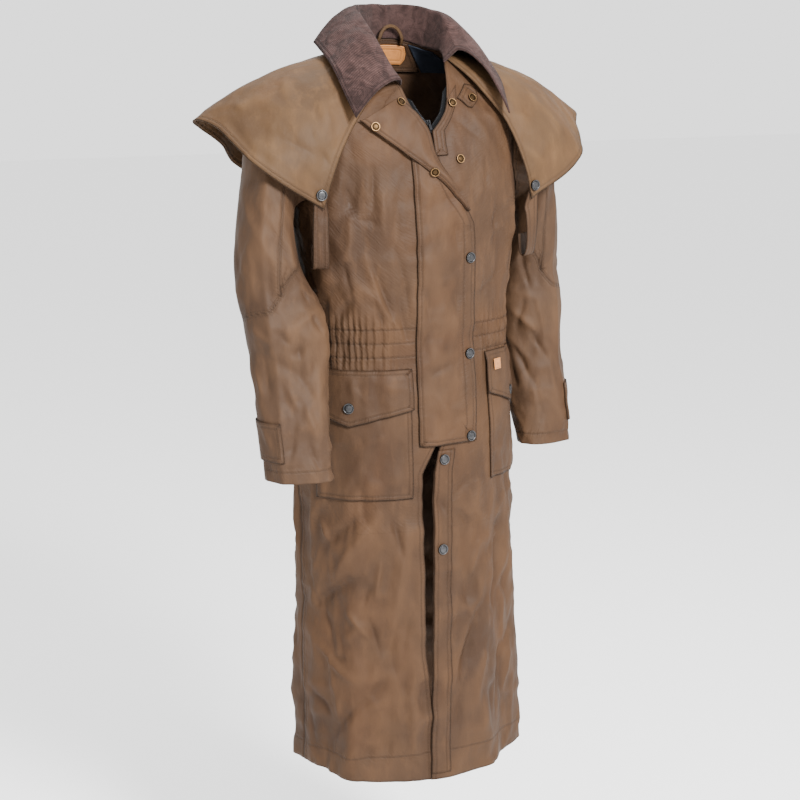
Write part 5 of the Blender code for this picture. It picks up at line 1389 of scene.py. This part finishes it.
def snap_cap(context, radius, height, ring):
    """A cap turned up at its rim: domed in the middle, or an open ring with a post's head in it."""
    rim = context.scene.duster_sizes.cap_rim
    bpy.ops.object.select_all(action="DESELECT")
    bpy.ops.mesh.primitive_cylinder_add(vertices=40, radius=radius, depth=height)
    cap = context.object
    bpy.ops.object.mode_set(mode="EDIT")
    bpy.ops.mesh.select_all(action="DESELECT")
    work = bmesh.from_edit_mesh(cap.data)
    pick_top(work)
    bmesh.update_edit_mesh(cap.data)
    open_ring = ((0.0004, -0.0012), (radius * 0.22, 0.0), (0.0003, 0.0007), (0.0005, 0.0001))
    dome = ((0.0003, -0.0005), (0.0009, 0.0), (0.0003, 0.0003), (radius * 0.20, 0.0003), (radius * 0.18, 0.0001))
    for thickness, depth in ((rim, 0.0), *(open_ring if ring else dome)):
        bpy.ops.mesh.inset(thickness=thickness, depth=depth)
    bpy.ops.object.mode_set(mode="OBJECT")
    soften = cap.modifiers.new("soften", "BEVEL")
    soften.width, soften.segments, soften.limit_method = 0.00022, 2, "ANGLE"
    bpy.ops.object.modifier_apply(modifier=soften.name)
    bpy.ops.object.shade_smooth_by_angle(angle=math.radians(35))
    mesh = cap.data
    points = mesh_points(mesh)
    out = np.linalg.norm(points[:, :2], axis=1) / radius
    # patina and painted shade: the top face and the outer ring stay bright; the sides below the top (painted shade)
    # and the sunk hollows (patina) are darkened by the material
    patina_and_painted_shade = np.clip((points[:, 2] - height / 2 + 0.0006) / 0.0006, 0, 1) * 0.8 + 0.2 * (out > 0.8)
    mesh.attributes.new("rim", "FLOAT", "POINT").data.foreach_set("value", patina_and_painted_shade.astype(np.float32))
    bpy.data.objects.remove(cap)
    return mesh


class DUSTER_OT_snaps(bpy.types.Operator):
    """Snap caps: domed antique silver ones and open brass rings, bare of any mark"""
    bl_idname = "duster.snaps"
    bl_label = "Snaps"

    def execute(self, context):
        moulds = {}
        for name, (middle, axis, radius) in SNAPS.items():
            brass = name.startswith(("snap_turned", "snap_placket", "snap_throat", "stud_"))
            key = (brass, round(radius, 4))
            if key not in moulds:
                moulds[key] = snap_cap(context, radius * (BRASS_WIDER if brass else SILVER_WIDER), CAP_HEIGHT, brass)
            mesh = moulds[key].copy()
            mesh.name = name + "_cap"
            turn = Vector((0, 0, 1)).rotation_difference(Vector(axis)).to_matrix().to_4x4()
            mesh.transform(Matrix.Translation(Vector(middle)) @ turn)
            made = linked(name + "_cap", mesh)
            mesh.materials.clear()
            mesh.materials.append(looks(context, "brass" if brass else "silver"))
            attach(made, "coat")
            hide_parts(name)
        for mesh in moulds.values():
            bpy.data.meshes.remove(mesh)
        return {"FINISHED"}


def soft_light(name, place, aim, size, power):
    lamp = bpy.data.lights.new(name, "AREA")
    lamp.shape, lamp.size, lamp.energy = "DISK", size, power
    made = linked(name, lamp)
    made.location = place
    made.rotation_euler = (Vector(aim) - Vector(place)).to_track_quat("-Z", "Y").to_euler()


class DUSTER_OT_stage(bpy.types.Operator):
    """Pale floor, soft studio light and the camera"""
    bl_idname = "duster.stage"
    bl_label = "Stage"

    def execute(self, context):
        bpy.ops.object.select_all(action="DESELECT")
        bpy.ops.mesh.primitive_plane_add(size=40.0, location=(0.0, 0.0, FLOOR_HEIGHT))
        floor = context.object
        floor.name = "floor"
        pale, shader, _ = new_material("floor_looks", 0.9)
        shader.inputs["Base Color"].default_value = (0.93, 0.93, 0.93, 1.0)
        floor.data.materials.append(pale)
        world = bpy.data.worlds.new("studio")
        world.use_nodes = True
        backdrop = world.node_tree.nodes["Background"]
        backdrop.inputs["Color"].default_value = (1.0, 1.0, 1.0, 1.0)
        backdrop.inputs["Strength"].default_value = 1.9
        context.scene.world = world
        soft_light("key_light", (0.3, -3.3, 1.5), (0.0, 0.0, -0.55), 1.1, 500.0)
        soft_light("side_light", (-3.0, -1.2, 0.9), (0.0, 0.0, -0.6), 1.2, 14.0)
        soft_light("top_light", (0.2, 0.6, 2.4), (0.0, 0.0, -0.4), 2.0, 80.0)
        lens = bpy.data.cameras.new("camera")
        lens.angle = math.radians(CAMERA_ANGLE)
        camera = linked("camera", lens)
        turn = math.radians(CAMERA_TURN)
        camera.location = (math.sin(turn) * CAMERA_DISTANCE, -math.cos(turn) * CAMERA_DISTANCE, 0.05)
        camera.rotation_euler = (Vector((0.0, 0.0, -0.60)) - camera.location).to_track_quat("-Z", "Y").to_euler()
        context.scene.camera = camera
        return {"FINISHED"}


STEPS = ("stage", "body", "sleeves", "cape", "collar", "flap", "plackets", "pockets", "tabs", "neck", "zip", "snaps")


class DUSTER_PT_panel(bpy.types.Panel):
    """Lists the coat's pieces with their sizes and colours"""
    bl_label = "Duster Coat"
    bl_space_type = "VIEW_3D"
    bl_region_type = "UI"
    bl_category = "Duster Coat"

    def draw(self, context):
        for group in (context.scene.duster_sizes, context.scene.duster_colours):
            for name in group.__annotations__:
                self.layout.prop(group, name)
        for step in STEPS:
            self.layout.operator("duster." + step)


CLASSES = (DUSTER_PG_sizes, DUSTER_PG_colours, DUSTER_OT_body, DUSTER_OT_sleeves, DUSTER_OT_cape, DUSTER_OT_collar,
           DUSTER_OT_flap, DUSTER_OT_plackets, DUSTER_OT_pockets, DUSTER_OT_tabs, DUSTER_OT_neck, DUSTER_OT_zip,
           DUSTER_OT_snaps, DUSTER_OT_stage, DUSTER_PT_panel)


def register():
    for item in CLASSES:
        bpy.utils.register_class(item)
    bpy.types.Scene.duster_sizes = bpy.props.PointerProperty(type=DUSTER_PG_sizes)
    bpy.types.Scene.duster_colours = bpy.props.PointerProperty(type=DUSTER_PG_colours)


def unregister():
    del bpy.types.Scene.duster_sizes
    del bpy.types.Scene.duster_colours
    for item in reversed(CLASSES):
        bpy.utils.unregister_class(item)


def main():
    register()
    for step in STEPS:
        getattr(bpy.ops.duster, step)()


if __name__ == "__main__":
    main()
